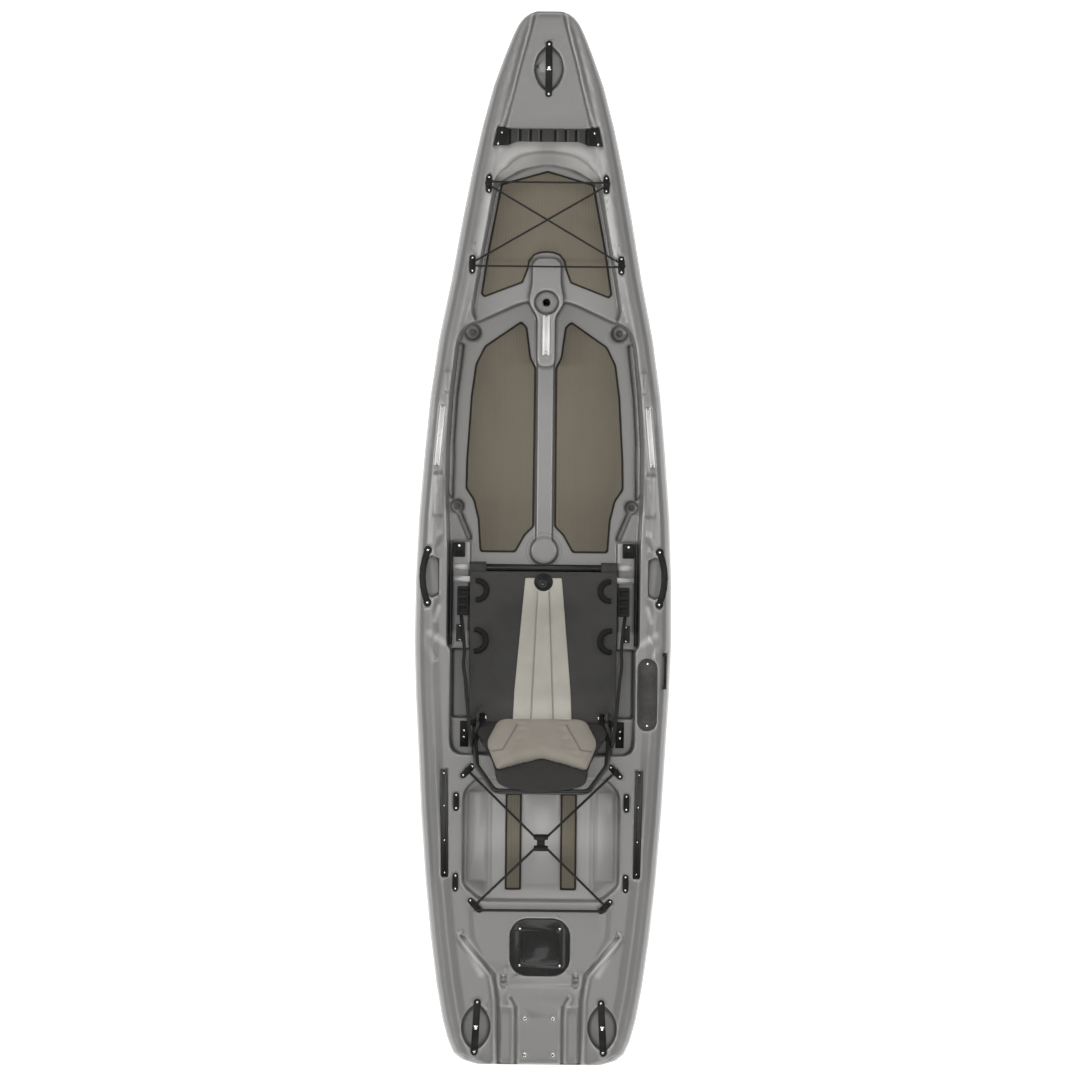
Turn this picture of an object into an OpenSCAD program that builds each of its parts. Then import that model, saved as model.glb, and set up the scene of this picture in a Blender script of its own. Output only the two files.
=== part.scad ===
/* [Hull] */
// Overall length of the hull
hull_len = 3734; // [3700:1:3800]
// Overall beam of the hull
hull_beam = 912; // [900:1:930]
// Thickness of the moulded wall
wall = 5; // [4:0.5:6]
// Height of the gunwale amidships
rail_z = 330; // [325:1:340]
// Depth of the tunnel between the keel and the side runners
tunnel_depth = 14; // [6:1:20]

/* [Wells] */
// Height of the cockpit floor
floor_z = 120; // [115:1:125]
// Height of the front well floor
front_z = 215; // [205:1:225]
// Height of the tank well floor
tank_z = 200; // [190:1:210]
// Height of the ledges that carry the seat
ledge_z = 205; // [200:1:210]
// Height of the centre pod above the cockpit floor
pod_rise = 125; // [115:1:130]
// Height of the spine between the foot pads
spine_rise = 14; // [8:1:20]
// Outward lean of the well walls over their height
draft = 12; // [6:1:16]
// Depth of the drain channels
channel_depth = 14; // [8:1:16]
// Radius of the scupper holes
scupper_r = 12; // [9:0.5:14]

/* [Fittings] */
// Width of the gunwale gear tracks
track_w = 19.5; // [18:0.5:22]
// Depth of the gear track channels
track_depth = 11; // [9:0.5:13]
// Diameter of the bungee cord
bungee_d = 6; // [5:0.5:6.5]
// Length of the hatch cover across the boat
hatch_w = 208; // [200:1:220]
// Length of the hatch cover along the boat
hatch_l = 198; // [190:1:206]
// Spacing of the stern inserts across the boat
insert_x = 100; // [80:1:120]
// Spacing of the stern inserts along the boat
insert_y = 129; // [110:1:134]
// Radius of the bore of the stern inserts
insert_bore = 3.2; // [2.5:0.1:4]

/* [Seat] */
// Half distance between the seat side tubes
seat_x = 248; // [246:1:250]
// Radius of the seat tubes
tube_r = 13; // [11:0.5:13.5]
// Height of the seat tubes over the ledges
seat_rise = 27; // [26:1:34]
// How far the sling sags
sag = 42; // [30:1:50]
// Lean of the backrest from upright
recline = 37; // [30:1:40]
// Length of the backrest from its hinge to its top tube
back_len = 425; // [400:1:440]

/* [Hidden] */
gap = 0.3;

half_len = hull_len / 2;
half_beam = hull_beam / 2;
pod_z = floor_z + pod_rise;
above = 460;

// Places along the hull, from the hull's middle. The seat stays put, the bow and the stern go with
// the ends of the hull, and the footwell and the tank well stretch to take up what is left.
foot_bow = 600;
bow_part = 1267;
tank_bow = -850;
tank_stern = -1288;
stern_part = 579;
bow_shift = half_len - bow_part - foot_bow;
stern_shift = stern_part - half_len - tank_stern;
function place_y(y) = lookup(y, [
    [tank_stern - 900, tank_stern - 900 + stern_shift], [tank_stern, tank_stern + stern_shift],
    [tank_bow, tank_bow], [0, 0],
    [foot_bow, foot_bow + bow_shift], [foot_bow + 1500, foot_bow + 1500 + bow_shift]]);
function placed(pts) = [for (p = pts) [p[0], place_y(p[1])]];

// Stations, stern to bow: share of the half length, share of the half beam,
// rise of the gunwale over its height amidships, height of the keel,
// place of the deck crease as a share of the beam there, crown of the deck centre
STATIONS = [
    [-1.000, 0.500, -12, 96, 0.60, -16],
    [-0.993, 0.600, -4, 84, 0.50, -18],
    [-0.980, 0.665, 0, 70, 0.47, -20],
    [-0.955, 0.710, 2, 54, 0.45, -22],
    [-0.915, 0.755, 3, 40, 0.43, -22],
    [-0.850, 0.802, 4, 24, 0.42, -22],
    [-0.760, 0.850, 4, 10, 0.60, -18],
    [-0.650, 0.896, 4, 2, 0.60, -16],
    [-0.520, 0.936, 3, 0, 0.50, -14],
    [-0.390, 0.964, 2, 0, 0.50, -14],
    [-0.300, 0.985, 1, 0, 0.50, -14],
    [-0.200, 1.000, 0, 0, 0.50, -14],
    [-0.080, 0.995, 0, 0, 0.50, -14],
    [0.040, 0.975, 1, 0, 0.50, -14],
    [0.160, 0.937, 3, 0, 0.50, -14],
    [0.270, 0.896, 6, 0, 0.50, -14],
    [0.380, 0.832, 11, 0, 0.50, -14],
    [0.490, 0.742, 18, 2, 0.50, -14],
    [0.600, 0.664, 26, 8, 0.50, -12],
    [0.700, 0.586, 36, 22, 0.60, -8],
    [0.780, 0.514, 46, 46, 0.64, -2],
    [0.860, 0.426, 57, 86, 0.62, 4],
    [0.920, 0.336, 66, 140, 0.61, 6],
    [0.955, 0.278, 71, 190, 0.60, 6],
    [0.975, 0.238, 74, 226, 0.60, 5],
    [0.988, 0.196, 75, 258, 0.60, 4],
    [0.996, 0.150, 74, 286, 0.58, 2],
    [1.000, 0.100, 70, 310, 0.55, 0],
];

function at_station(y, column) =
    lookup(y / half_len, [for (s = STATIONS) [s[0], s[column]]]);
function beam_at(y) = at_station(y, 1) * half_beam;
function sheer_at(y) = rail_z + at_station(y, 2);
function keel_at(y) = at_station(y, 3);

function unit(v) = v / norm(v);
function mirrored(half) =
    concat(half, [for (i = [len(half) - 1:-1:0]) [-half[i][0], half[i][1]]]);

// A closed outline, anticlockwise, moved outwards by g
function outset(pts, g) =
    let (n = len(pts))
    [for (i = [0:n - 1])
        let (
            a = unit(pts[i] - pts[(i + n - 1) % n]),
            b = unit(pts[(i + 1) % n] - pts[i]),
            na = [a[1], -a[0]],
            nb = [b[1], -b[0]]
        )
        pts[i] + g * (na + nb) / (1 + na * nb)];

// A half outline, from the stern end up the starboard side to the bow end, whose corner i is
// rounded from d[i] before it to d[i] after it
function soft(pts, d, steps = 4) =
    let (
        n = len(pts),
        before = concat([[0, pts[0][1]]], pts),
        after = concat(pts, [[0, pts[n - 1][1]]])
    )
    [for (i = [0:n - 1])
        let (
            p = pts[i],
            s = p + unit(before[i] - p) * d[i],
            e = p + unit(after[i + 1] - p) * d[i]
        )
        each (d[i] == 0 ? [p] :
            [for (k = [0:steps]) let (t = k / steps)
                (1 - t) * (1 - t) * s + 2 * t * (1 - t) * p + t * t * e])];

// The outer skin on one side of a section, from the keel up to the middle of the deck
function skin_half(b, s, k, crease, crown) =
    let (g = min(1, b / 300))
    [
        [0.10 * b, k],
        [0.30 * b, k + tunnel_depth * g],
        [0.52 * b, k],
        [0.72 * b, k + 9 * g],
        [0.87 * b, k + 40 * g],
        [0.945 * b, k + (s - k) * 0.30],
        [0.99 * b, k + (s - k) * 0.52],
        [b, s - 95 * g],
        [b - 6 * g, s - 50 * g],
        [b - 18 * g, s - 20 * g],
        [b - 36 * g, s - 4 * g],
        [b - 60 * g, s],
        [b - 84 * g, s - 10 * g],
        [b * crease + 12 * g, s - 14 * g],
        [b * crease, s + crown * g],
    ];

function ring(half, y) = concat(
    [for (p = half) [p[0], y, p[1]]],
    [for (i = [len(half) - 1:-1:0]) [-half[i][0], y, half[i][1]]]);

function outer_ring(row) =
    ring(skin_half(row[1] * half_beam, rail_z + row[2], row[3], row[4], row[5]),
        row[0] * half_len);

// The hollow inside, as sections that run under the wells and up inside the rails:
// place along the hull, inner edge of the rail space, top of the space under the deck or well
VOID_ROWS = [
    [-1857, 120, rail_z - 44],
    [-1777, 130, rail_z - 28],
    [-1560, 160, rail_z - 26],
    [-1304, 240, rail_z - 24],
    [-1299, 292, tank_z - wall],
    [-1100, 294, tank_z - wall],
    [-840, 294, tank_z - wall],
    [-835, 300, rail_z - 24],
    [-790, 300, rail_z - 24],
    [-784, 338, floor_z - wall],
    [-410, 338, floor_z - wall],
    [-370, 352, floor_z - wall],
    [0, 352, floor_z - wall],
    [150, 360, floor_z - wall],
    [330, 360, floor_z - wall],
    [500, 350, floor_z - wall],
    [700, 330, floor_z - wall],
    [862, 285, floor_z - wall],
    [900, 274, front_z - wall],
    [1100, 232, front_z - wall],
    [1330, 203, front_z - wall],
    [1425, 148, rail_z + 34],
    [1620, 96, rail_z + 52],
    [1740, 66, rail_z + 64],
    [1810, 44, rail_z + 68],
    [1840, 26, rail_z + 60],
];

function void_ring(row) =
    let (
        y = place_y(row[0]),
        h = skin_half(beam_at(y) - wall, sheer_at(y) - wall, keel_at(y) + wall, 0.3, 0),
        outside = [for (i = [0:8]) h[i]],
        under_rail = [for (i = [9:12]) let (x = max(h[i][0], row[1] + 13 - i))
            [x, min(h[i][1], deck_at(x, y) - wall - 1)]],
        inner_z = min(sheer_at(y) - 24, deck_at(row[1], y) - wall - 1)
    )
    ring(concat(outside, under_rail, [[row[1], inner_z], [row[1] - 1, row[2]]]), y);

// Sections joined into one closed skin
module loft(rings) {
    n = len(rings[0]);
    m = len(rings);
    sides = [for (j = [0:m - 2]) for (i = [0:n - 1])
        let (a = j * n + i, b = j * n + (i + 1) % n)
        each [[a, b, b + n], [a, b + n, a + n]]];
    ends = [rings[0], rings[m - 1]];
    middles = [for (r = ends) [0, r[0][1], (r[0][2] + r[n / 2 - 1][2]) / 2]];
    caps = [for (i = [0:n - 1]) let (j = (i + 1) % n)
        each [[n * m, j, i], [n * m + 1, (m - 1) * n + i, (m - 1) * n + j]]];
    polyhedron([for (r = concat(rings, [middles])) for (p = r) p], concat(sides, caps),
        convexity = 10);
}

// A well whose outline goes from low at z0 to high at z1
module well(low, high, z0, z1) {
    n = len(low);
    pts = concat([for (p = low) [p[0], p[1], z0]], [for (p = high) [p[0], p[1], z1]]);
    sides = [for (i = [0:n - 1]) let (j = (i + 1) % n) each [[i, i + n, j + n], [i, j + n, j]]];
    caps = [for (i = [0:n / 2 - 2]) let (a = n - 1 - i, b = n - 2 - i)
        each [[i, i + 1, b], [i, b, a], [n + b, n + i + 1, n + i], [n + a, n + b, n + i]]];
    polyhedron(pts, concat(sides, caps), convexity = 10);
}

module slab(pts, z0, z1) {
    translate([0, 0, z0]) linear_extrude(z1 - z0) polygon(pts);
}

// Cockpit floor, half outline from the stern end to the bow end
COCKPIT = placed([[322, -770], [322, -398], [336, -380], [336, 0], [344, 150], [343, 330],
    [333, 500], [312, 690], [290, 748], [90, 840], [20, 850]]);
COCKPIT_SOFT = [50, 10, 10, 60, 60, 60, 60, 28, 28, 34, 0];

module cockpit_cut() {
    low = mirrored(soft(COCKPIT, COCKPIT_SOFT));
    high = mirrored(soft([for (p = COCKPIT) p + [draft, 0]], COCKPIT_SOFT));
    well(low, high, floor_z, above);
}

// Front well: the wall under the cross bar slopes forward
FRONT_LOW = placed([[238, 740], [262, 800], [246, 900], [222, 1030], [193, 1190],
    [176, 1264], [90, 1312], [20, 1326]]);
FRONT_HIGH = placed([[239, 739], [276, 800], [260, 900], [236, 1030], [209, 1190],
    [196, 1300], [110, 1396], [22, 1406]]);
FRONT_SOFT = [0, 20, 40, 40, 40, 30, 30, 0];

module front_cut() {
    well(mirrored(soft(FRONT_LOW, FRONT_SOFT)), mirrored(soft(FRONT_HIGH, FRONT_SOFT)),
        front_z, above);
}

// Tank well behind the seat
TANK = placed([[215, tank_stern], [277, -1232], [277, -900], [232, tank_bow]]);
TANK_SOFT = [24, 24, 24, 24];

module tank_cut() {
    well(mirrored(soft(TANK, TANK_SOFT)),
        mirrored(soft([for (p = TANK) p + [draft / 2, 0]], TANK_SOFT)),
        tank_z, above);
}

// Pod ahead of the spine, with the round recess and the centre gear track on top
POD = placed([[31, 612], [31, 790], [64, 838], [50, 905], [50, 996]]);
POD_SOFT = [24, 20, 24, 20, 34];
recess_y = place_y(839);
recess_r = 44;

module pod() {
    slab(mirrored(soft(POD, POD_SOFT)), floor_z - wall, pod_z);
}

spine_w = 56;
disc_y = -44;
disc_r = 46;

module spine() {
    translate([-spine_w / 2, disc_y, floor_z - 1]) cube([spine_w, place_y(660) - disc_y, spine_rise + 1]);
    translate([0, disc_y, floor_z - 1]) cylinder(h = spine_rise + 5, r = disc_r, $fn = 64);
}

// Scuppers: place, radius of the dish round the hole
SCUPPERS = [[262, place_y(733), 38], [311, place_y(112), 33]];

module each_side() {
    children();
    mirror([1, 0, 0]) children();
}

module scupper_holes(r) {
    each_side() for (s = SCUPPERS) translate([s[0], s[1], -1]) cylinder(h = above, r = r, $fn = 48);
    translate([0, recess_y, -1]) cylinder(h = above, r = r, $fn = 48);
}

module scupper_dishes(g) {
    depth = channel_depth + 4;
    each_side() for (s = SCUPPERS) translate([s[0], s[1], floor_z - depth - g])
        cylinder(h = depth + 30 + g, r1 = s[2] - 10 + g, r2 = s[2] + g, $fn = 64);
}

CHANNEL = placed([[290, 690], [312, 500], [322, 330], [323, 130], [343, 150], [342, 330],
    [332, 500], [312, 700]]);
CHANNEL_REAR = placed([[296, 100], [256, 4], [256, -8], [274, -8], [314, 90]]);

module channels(g) {
    each_side() for (c = [CHANNEL, CHANNEL_REAR])
        slab(outset(c, g), floor_z - channel_depth - g, floor_z + 20);
}

// Ledges along the cockpit walls that carry the seat: inner edge, outer edge, stern end, bow end
FRONT_LEDGE = [262, 324, -392, -14];
REAR_LEDGE = [248, 326, -775, -640];

module ledge(l, g, z0, z1) {
    slab([[l[0] + g, l[2] + g], [l[1] - g, l[2] + g], [l[1] - g, l[3] - g], [l[0] + g, l[3] - g]], z0, z1);
}

module ledges() {
    each_side() for (l = [FRONT_LEDGE, REAR_LEDGE]) ledge(l, 0, floor_z - 1, ledge_z);
}

// Height of the deck or the rail at a place beside the wells
function deck_at(x, y) =
    let (b = beam_at(y), g = min(1, b / 300), s = sheer_at(y), c = b * at_station(y, 4))
    lookup(abs(x), [[c, s + at_station(y, 5) * g], [c + 12 * g, s - 14 * g], [b - 84 * g, s - 10 * g],
        [b - 60 * g, s], [b - 36 * g, s - 4 * g], [b - 18 * g, s - 20 * g]]);

// A strip with round ends along Y
module strip(length, width, z0, z1) {
    translate([0, 0, z0]) linear_extrude(z1 - z0) union() {
        square([width, length - width], center = true);
        for (s = [-1, 1]) translate([0, s * (length - width) / 2]) circle(r = width / 2, $fn = 40);
    }
}

// A rectangle with round corners
module plate(w, l, r, z0, z1) {
    translate([0, 0, z0]) linear_extrude(z1 - z0) union() {
        square([w, l - 2 * r], center = true);
        square([w - 2 * r, l], center = true);
        for (x = [-1, 1]) for (y = [-1, 1]) translate([x * (w / 2 - r), y * (l / 2 - r)]) circle(r = r, $fn = 48);
    }
}

// Carry handles at the bow and the stern: a strap over a pointed recess
eye_depth = 35;
handle_span = 176;
strap_w = 24;
bow_handle_y = half_len - 204;
bow_slope = atan((deck_at(0, bow_handle_y + 88) - deck_at(0, bow_handle_y - 88)) / handle_span);
stern_handle = [224, -half_len + 132, 318];

module at_bow_handle() {
    translate([0, bow_handle_y, deck_at(0, bow_handle_y) - 1]) rotate([bow_slope, 0, 0]) children();
}

module at_stern_handles() {
    each_side() translate(stern_handle) rotate([0, 0, 3]) children();
}

module eye(g) {
    translate([0, 0, -eye_depth - g]) intersection() {
        translate([-43.5, 0, 0]) cylinder(h = eye_depth + 60, r = 95.5 + g, $fn = 96);
        translate([43.5, 0, 0]) cylinder(h = eye_depth + 60, r = 95.5 + g, $fn = 96);
    }
    strip(handle_span + strap_w + 4 + 2 * g, strap_w + 4 + 2 * g, -g, 60);
}

// A strap with a bolt eye at each end and a thicker grip arched between them
module strap() {
    difference() {
        union() {
            strip(handle_span + strap_w, strap_w, 0, 4);
            rotate([90, 0, 90]) translate([0, 0, -strap_w / 2]) linear_extrude(strap_w)
                polygon([[-66, 4], [-52, 10], [-30, 14], [30, 14], [52, 10], [66, 4], [62, 2], [-62, 2]]);
        }
        for (y = [-1, 1]) translate([0, y * handle_span / 2, -1]) cylinder(h = 6, r = 3.1, $fn = 32);
    }
}

module bolt(z, r) {
    translate([0, 0, z]) cylinder(h = 3, r1 = r, r2 = r * 0.6, $fn = 32);
    translate([0, 0, z - 4]) cylinder(h = 4, r = 3, $fn = 32);
}

module bow_handle() {
    color("#26261f") at_bow_handle() strap();
}

module stern_handles() {
    color("#26261f") at_stern_handles() strap();
}

// Side handles: a bowed bar outboard of a finger pocket
side_handle_y = -138;
side_handle_x = beam_at(side_handle_y) - 24;
side_handle_z = 321;
side_handle_R = 243;
bar_half = 93;
bar_w = 18;

module at_side_handles() {
    each_side() translate([side_handle_x, side_handle_y, side_handle_z]) children();
}

FINGER = [[-58, -64], [-34, -76], [-6, -60], [1, 0], [-6, 60], [-34, 76], [-58, 64]];

module side_pocket(g) {
    translate([0, 0, -28 - g]) linear_extrude(90) polygon(outset(FINGER, g));
    for (y = [-1, 1]) translate([-18, y * bar_half, -g]) cylinder(h = 40, r = 14 + g, $fn = 48);
    translate([-side_handle_R, 0, -g]) rotate([0, 0, -24]) rotate_extrude(angle = 48, $fn = 200)
        translate([side_handle_R - bar_w / 2 - 2 - g, 0]) square([bar_w + 4 + 2 * g, 40]);
}

module side_handles() {
    sweep = 2 * asin(bar_half / side_handle_R);
    color("#1d1d1a") at_side_handles() difference() {
        union() {
            translate([-side_handle_R, 0, 0]) rotate([0, 0, -sweep / 2])
                rotate_extrude(angle = sweep, $fn = 200)
                translate([side_handle_R - bar_w / 2, 0]) polygon([[0, 0], [bar_w, 0], [bar_w, 6],
                    [bar_w - 4, 10], [4, 10], [0, 6]]);
            for (y = [-1, 1]) translate([-18, y * bar_half, 0]) cylinder(h = 8, r = 12, $fn = 48);
        }
        for (y = [-1, 1]) translate([-18, y * bar_half, 4]) cylinder(h = 20, r = 7, $fn = 32);
        for (y = [-1, 1]) translate([-18, y * bar_half, -1]) cylinder(h = 20, r = 3.1, $fn = 32);
    }
}

module handle_bolts() {
    color("silver") {
        for (y = [-1, 1]) at_bow_handle() translate([0, y * handle_span / 2, 0]) bolt(4, 6);
        for (y = [-1, 1]) at_stern_handles() translate([0, y * handle_span / 2, 0]) bolt(4, 6);
        for (y = [-1, 1]) at_side_handles() translate([-18, y * bar_half, 0]) bolt(4, 6);
    }
}

// Ribbed bar over the head of the front well, held by a bracket on each side
bar_y = half_len - 445;
bar_z = deck_at(0, bar_y + 30) + 3;
BRACKET = [[138, -30], [193, -32], [178, 36], [138, 28]];
BRACKET_SCREWS = [[164, 15], [177, -24]];
bracket_z = deck_at(162, bar_y) - 1;

module bracket_seats(g) {
    each_side() translate([0, bar_y, bracket_z - g]) linear_extrude(60)
        polygon(outset(BRACKET, 2 + g));
}

module cross_bar() {
    color("#3c3c38") translate([0, bar_y, 0]) difference() {
        translate([0, 0, bar_z]) linear_extrude(15)
            polygon([[-137.7, -28], [-108, -17], [108, -17], [137.7, -28], [137.7, 27], [-137.7, 27]]);
        for (x = [-100, -62, -26, 26, 62, 100]) translate([x - 2.5, -40, bar_z + 11]) cube([5, 80, 10]);
    }
}

module cross_bar_brackets() {
    color("#26261f") each_side() translate([0, bar_y, 0]) difference() {
        union() {
            translate([0, 0, bracket_z]) linear_extrude(10) polygon(BRACKET);
            translate([138, -28, bracket_z]) cube([9, 54, bar_z + 18 - bracket_z]);
        }
        for (p = BRACKET_SCREWS) translate([p[0], p[1], bracket_z - 1]) cylinder(h = 40, r = 3.1, $fn = 32);
    }
}

module cross_bar_screws() {
    color("silver") each_side() for (p = BRACKET_SCREWS)
        translate([p[0], p[1] + bar_y, bracket_z]) {
            bolt(10, 5.5);
            cylinder(h = 6, r = 3, $fn = 32);
        }
}

// Gear tracks: a channel with inturned lips, sunk flush in the hull
module track(w, length, height, mouth) {
    difference() {
        translate([-w / 2, -length / 2, 0]) cube([w, length, height]);
        translate([-mouth / 2, -length / 2 - 1, 3]) cube([mouth, length + 2, height]);
        translate([-w / 2 + 2.5, -length / 2 - 1, 3]) cube([w - 5, length + 2, height - 6]);
    }
}

gunwale_ends = [for (y = [place_y(255), place_y(468)]) [beam_at(y) - 48, y]];
rear_ends = placed([[340, -1204], [347, -821]]);
rear_track_w = 25;
centre_track_w = 26;
centre_y = place_y(722);
centre_len = 142;

module at_track(ends, z) {
    middle = (ends[0] + ends[1]) / 2;
    turn = atan((ends[0][0] - ends[1][0]) / (ends[1][1] - ends[0][1]));
    each_side() translate([middle[0], middle[1], z]) rotate([0, 0, turn]) children();
}

gunwale_len = norm(gunwale_ends[1] - gunwale_ends[0]);
rear_len = norm(rear_ends[1] - rear_ends[0]);
gunwale_z = sheer_at(place_y(360)) - 3 - track_depth;
rear_track_z = deck_at(345, place_y(-1010)) - 1 - track_depth;

module channel_cut(w, length, g) {
    translate([-w / 2 - gap - g, -length / 2 - gap - g, -g]) cube([w + 2 * gap + 2 * g, length + 2 * gap + 2 * g, 60]);
}

module track_channels(g) {
    at_track(gunwale_ends, gunwale_z) channel_cut(track_w, gunwale_len, g);
    at_track(rear_ends, rear_track_z) channel_cut(rear_track_w, rear_len, g);
    translate([0, centre_y, pod_z - track_depth]) channel_cut(centre_track_w, centre_len, g);
}

module gunwale_tracks() {
    color("#d8d8d2") at_track(gunwale_ends, gunwale_z) track(track_w, gunwale_len, track_depth, 8);
}

module rear_tracks() {
    color("#1d1d1a") at_track(rear_ends, rear_track_z) track(rear_track_w, rear_len, track_depth, 9);
}

module centre_track() {
    color("#d8d8d2") translate([0, centre_y, pod_z - track_depth])
        track(centre_track_w, centre_len, track_depth, 9);
}

module track_screws() {
    color("silver") {
        for (k = [-0.44, 0, 0.44]) at_track(gunwale_ends, gunwale_z + 3)
            translate([0, k * gunwale_len, 0]) cylinder(h = 3, r1 = 3.8, r2 = 2.4, $fn = 32);
        for (k = [-0.46, -0.16, 0.16, 0.46]) at_track(rear_ends, rear_track_z + 3)
            translate([0, k * rear_len, 0]) cylinder(h = 3, r1 = 4.2, r2 = 2.6, $fn = 32);
        for (k = [-0.42, 0.42]) translate([0, centre_y + k * centre_len, pod_z - track_depth + 3])
            cylinder(h = 3, r1 = 4.2, r2 = 2.6, $fn = 32);
    }
}

// Pad-eyes: place, turn about Z
FRONT_EYES = [[208, place_y(1256), 0], [264, place_y(970), 0]];
REAR_EYES = [[302, place_y(-936), 0], [302, place_y(-1222), 0]];
CORNER_EYES = [[262, place_y(-826), 45], [232, place_y(-1303), -45]];
eye_bolts = 46;
eye_w = 18;
arch_R = 15.5;
arch_r = 2.5;
plate_h = 4;

rivet_h = 2;

function eye_z(e) = max([for (d = [-12, 0, 12]) deck_at(e[0] + d, e[1])]) - 6;

module at_eyes(eyes) {
    each_side() for (e = eyes) translate([e[0], e[1], eye_z(e)]) rotate([0, 0, e[2]]) children();
}

module eye_bosses() {
    at_eyes(concat(FRONT_EYES, REAR_EYES, CORNER_EYES))
        strip(eye_bolts + eye_w + 3, eye_w + 3, -14, 0);
}

module eye_seats(g) {
    at_eyes(concat(FRONT_EYES, REAR_EYES, CORNER_EYES))
        strip(eye_bolts + eye_w + 3 + 2 * g, eye_w + 3 + 2 * g, -g, 40);
}

module pad_eye() {
    difference() {
        union() {
            strip(eye_bolts + eye_w, eye_w, 0, plate_h);
            translate([0, 0, plate_h - 1]) rotate([90, 0, 90]) rotate_extrude(angle = 180, $fn = 64)
                translate([arch_R, 0]) circle(r = arch_r, $fn = 32);
        }
        for (y = [-1, 1]) translate([0, y * eye_bolts / 2, -1]) cylinder(h = 9, r = 2.6, $fn = 32);
    }
}

module front_pad_eyes() {
    color("#1d1d1a") at_eyes(FRONT_EYES) pad_eye();
}

module rear_pad_eyes() {
    color("#1d1d1a") at_eyes(REAR_EYES) pad_eye();
}

module corner_pad_eyes() {
    color("#1d1d1a") at_eyes(CORNER_EYES) pad_eye();
}

module pad_eye_rivets() {
    color("silver") at_eyes(concat(FRONT_EYES, REAR_EYES, CORNER_EYES))
        for (y = [-1, 1]) translate([0, y * eye_bolts / 2, 0]) {
            cylinder(h = plate_h, r = 2.5, $fn = 32);
            translate([0, 0, plate_h]) cylinder(h = rivet_h, r1 = 4.5, r2 = 3, $fn = 32);
        }
}

// Bungee cords, swept along points through the pad-eyes
cord_r = bungee_d / 2;
cord_lift = plate_h + rivet_h + cord_r + 1;

function cord_point(x, y, e) = [x, place_y(y), eye_z(e) + cord_lift];
FB = FRONT_EYES[1];
FT = FRONT_EYES[0];
// A half turn of the cord past an eye
function bight(x, ya, yb, side, e) = [for (k = [0:4])
    cord_point(x + side * abs(yb - ya) / 2 * sin(45 * k), ya + (yb - ya) * (1 - cos(45 * k)) / 2, e)];

front_route = concat([cord_point(-274, 964, FB)], bight(272, 964, 970.5, 1, FB),
    bight(-216, 1255.5, 1262, -1, FT), bight(216, 1262, 1255.5, 1, FT), [cord_point(-272, 970.5, FB)]);
front_steps = [16, 1, 1, 1, 1, 17, 1, 1, 1, 1, 13, 1, 1, 1, 1, 17];

RU = CORNER_EYES[0];
RL = CORNER_EYES[1];
rear_route = [
    cord_point(-270, -818, RU), cord_point(235.5, -1306.5, RL), cord_point(228.5, -1319, RL),
    cord_point(222, -1320, RL), cord_point(-222, -1320, RL), cord_point(-228.5, -1319, RL),
    cord_point(-235.5, -1306.5, RL), cord_point(270, -818, RU),
];
rear_steps = [22, 1, 1, 15, 1, 1, 22];

// Lifts one diagonal over the other where they cross
cord_over = cord_r + 1;
function crossing(p, q, t, lift) = [0, 0, lift * sin(180 * t)];

function route(pts, steps, lifts) = concat(
    [for (j = [0:len(steps) - 1]) for (i = [0:steps[j] - 1]) let (t = i / steps[j])
        pts[j] + (pts[j + 1] - pts[j]) * t + crossing(pts[j], pts[j + 1], t, lifts[j])],
    [pts[len(pts) - 1]]);

module cord(pts, r, sides) {
    n = len(pts);
    rings = [for (i = [0:n - 1])
        let (
            t = unit(unit(pts[min(i + 1, n - 1)] - pts[max(i - 1, 0)])),
            u = unit(cross(t, [0, 0, 1])),
            v = cross(u, t)
        )
        [for (k = [0:sides - 1]) pts[i] + r * (cos(360 * k / sides) * u + sin(360 * k / sides) * v)]];
    points = concat([for (r = rings) each r], [pts[0], pts[n - 1]]);
    skin = [for (j = [0:n - 2]) for (k = [0:sides - 1])
        let (a = j * sides + k, b = j * sides + (k + 1) % sides)
        each [[a, b, b + sides], [a, b + sides, a + sides]]];
    caps = [for (k = [0:sides - 1]) let (m = (k + 1) % sides)
        each [[n * sides, m, k], [n * sides + 1, (n - 1) * sides + k, (n - 1) * sides + m]]];
    polyhedron(points, concat(skin, caps), convexity = 6);
}

module front_bungee() {
    lifts = [for (i = [0:15]) i == 5 ? cord_over : i == 15 ? -cord_over : 0];
    color("#1d1d1a") cord(route(front_route, front_steps, lifts), cord_r, 8);
}

module rear_bungee() {
    lifts = [cord_over, 0, 0, 0, 0, 0, -cord_over];
    color("#1d1d1a") cord(route(rear_route, rear_steps, lifts), cord_r, 8);
}

// Hook that gathers the two diagonals where they cross over the tank well
cross_from = rear_route[0];
cross_run = rear_route[1] - rear_route[0];
cross_mid = cross_from - cross_run * cross_from[0] / cross_run[0];
cross_turn = atan(-cross_run[0] / cross_run[1]);

module bungee_hook() {
    color("#1d1d1a") translate(cross_mid) difference() {
        union() {
            for (s = [-1, 1]) translate([0, s * 20, 0]) rotate([0, 90, 0])
                cylinder(h = 50, r = 10, center = true, $fn = 48);
            translate([-14, -30, -8]) cube([28, 60, 16]);
        }
        for (s = [-1, 1]) translate([0, 0, s * cord_over]) rotate([0, 0, s * cross_turn]) rotate([90, 0, 0])
            cylinder(h = 200, r = cord_r + gap + 0.2, center = true, $fn = 32);
    }
}

// Hatch: a screwed cover on a gasket round an opening into the hull
hatch_y = -half_len + 417;
hatch_floor = deck_at(0, hatch_y) - 15;
hatch_r = 60;
opening_w = 118;
opening_l = 106;
gasket_h = 3;
// The neck is cut through into the hull; the hollow stops one wall short of it
neck_depth = 25;
HATCH_SCREWS = [[71, 65], [-71, 65], [71, -65], [-71, -65]];

module at_hatch() {
    translate([0, hatch_y, hatch_floor]) children();
}

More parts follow.
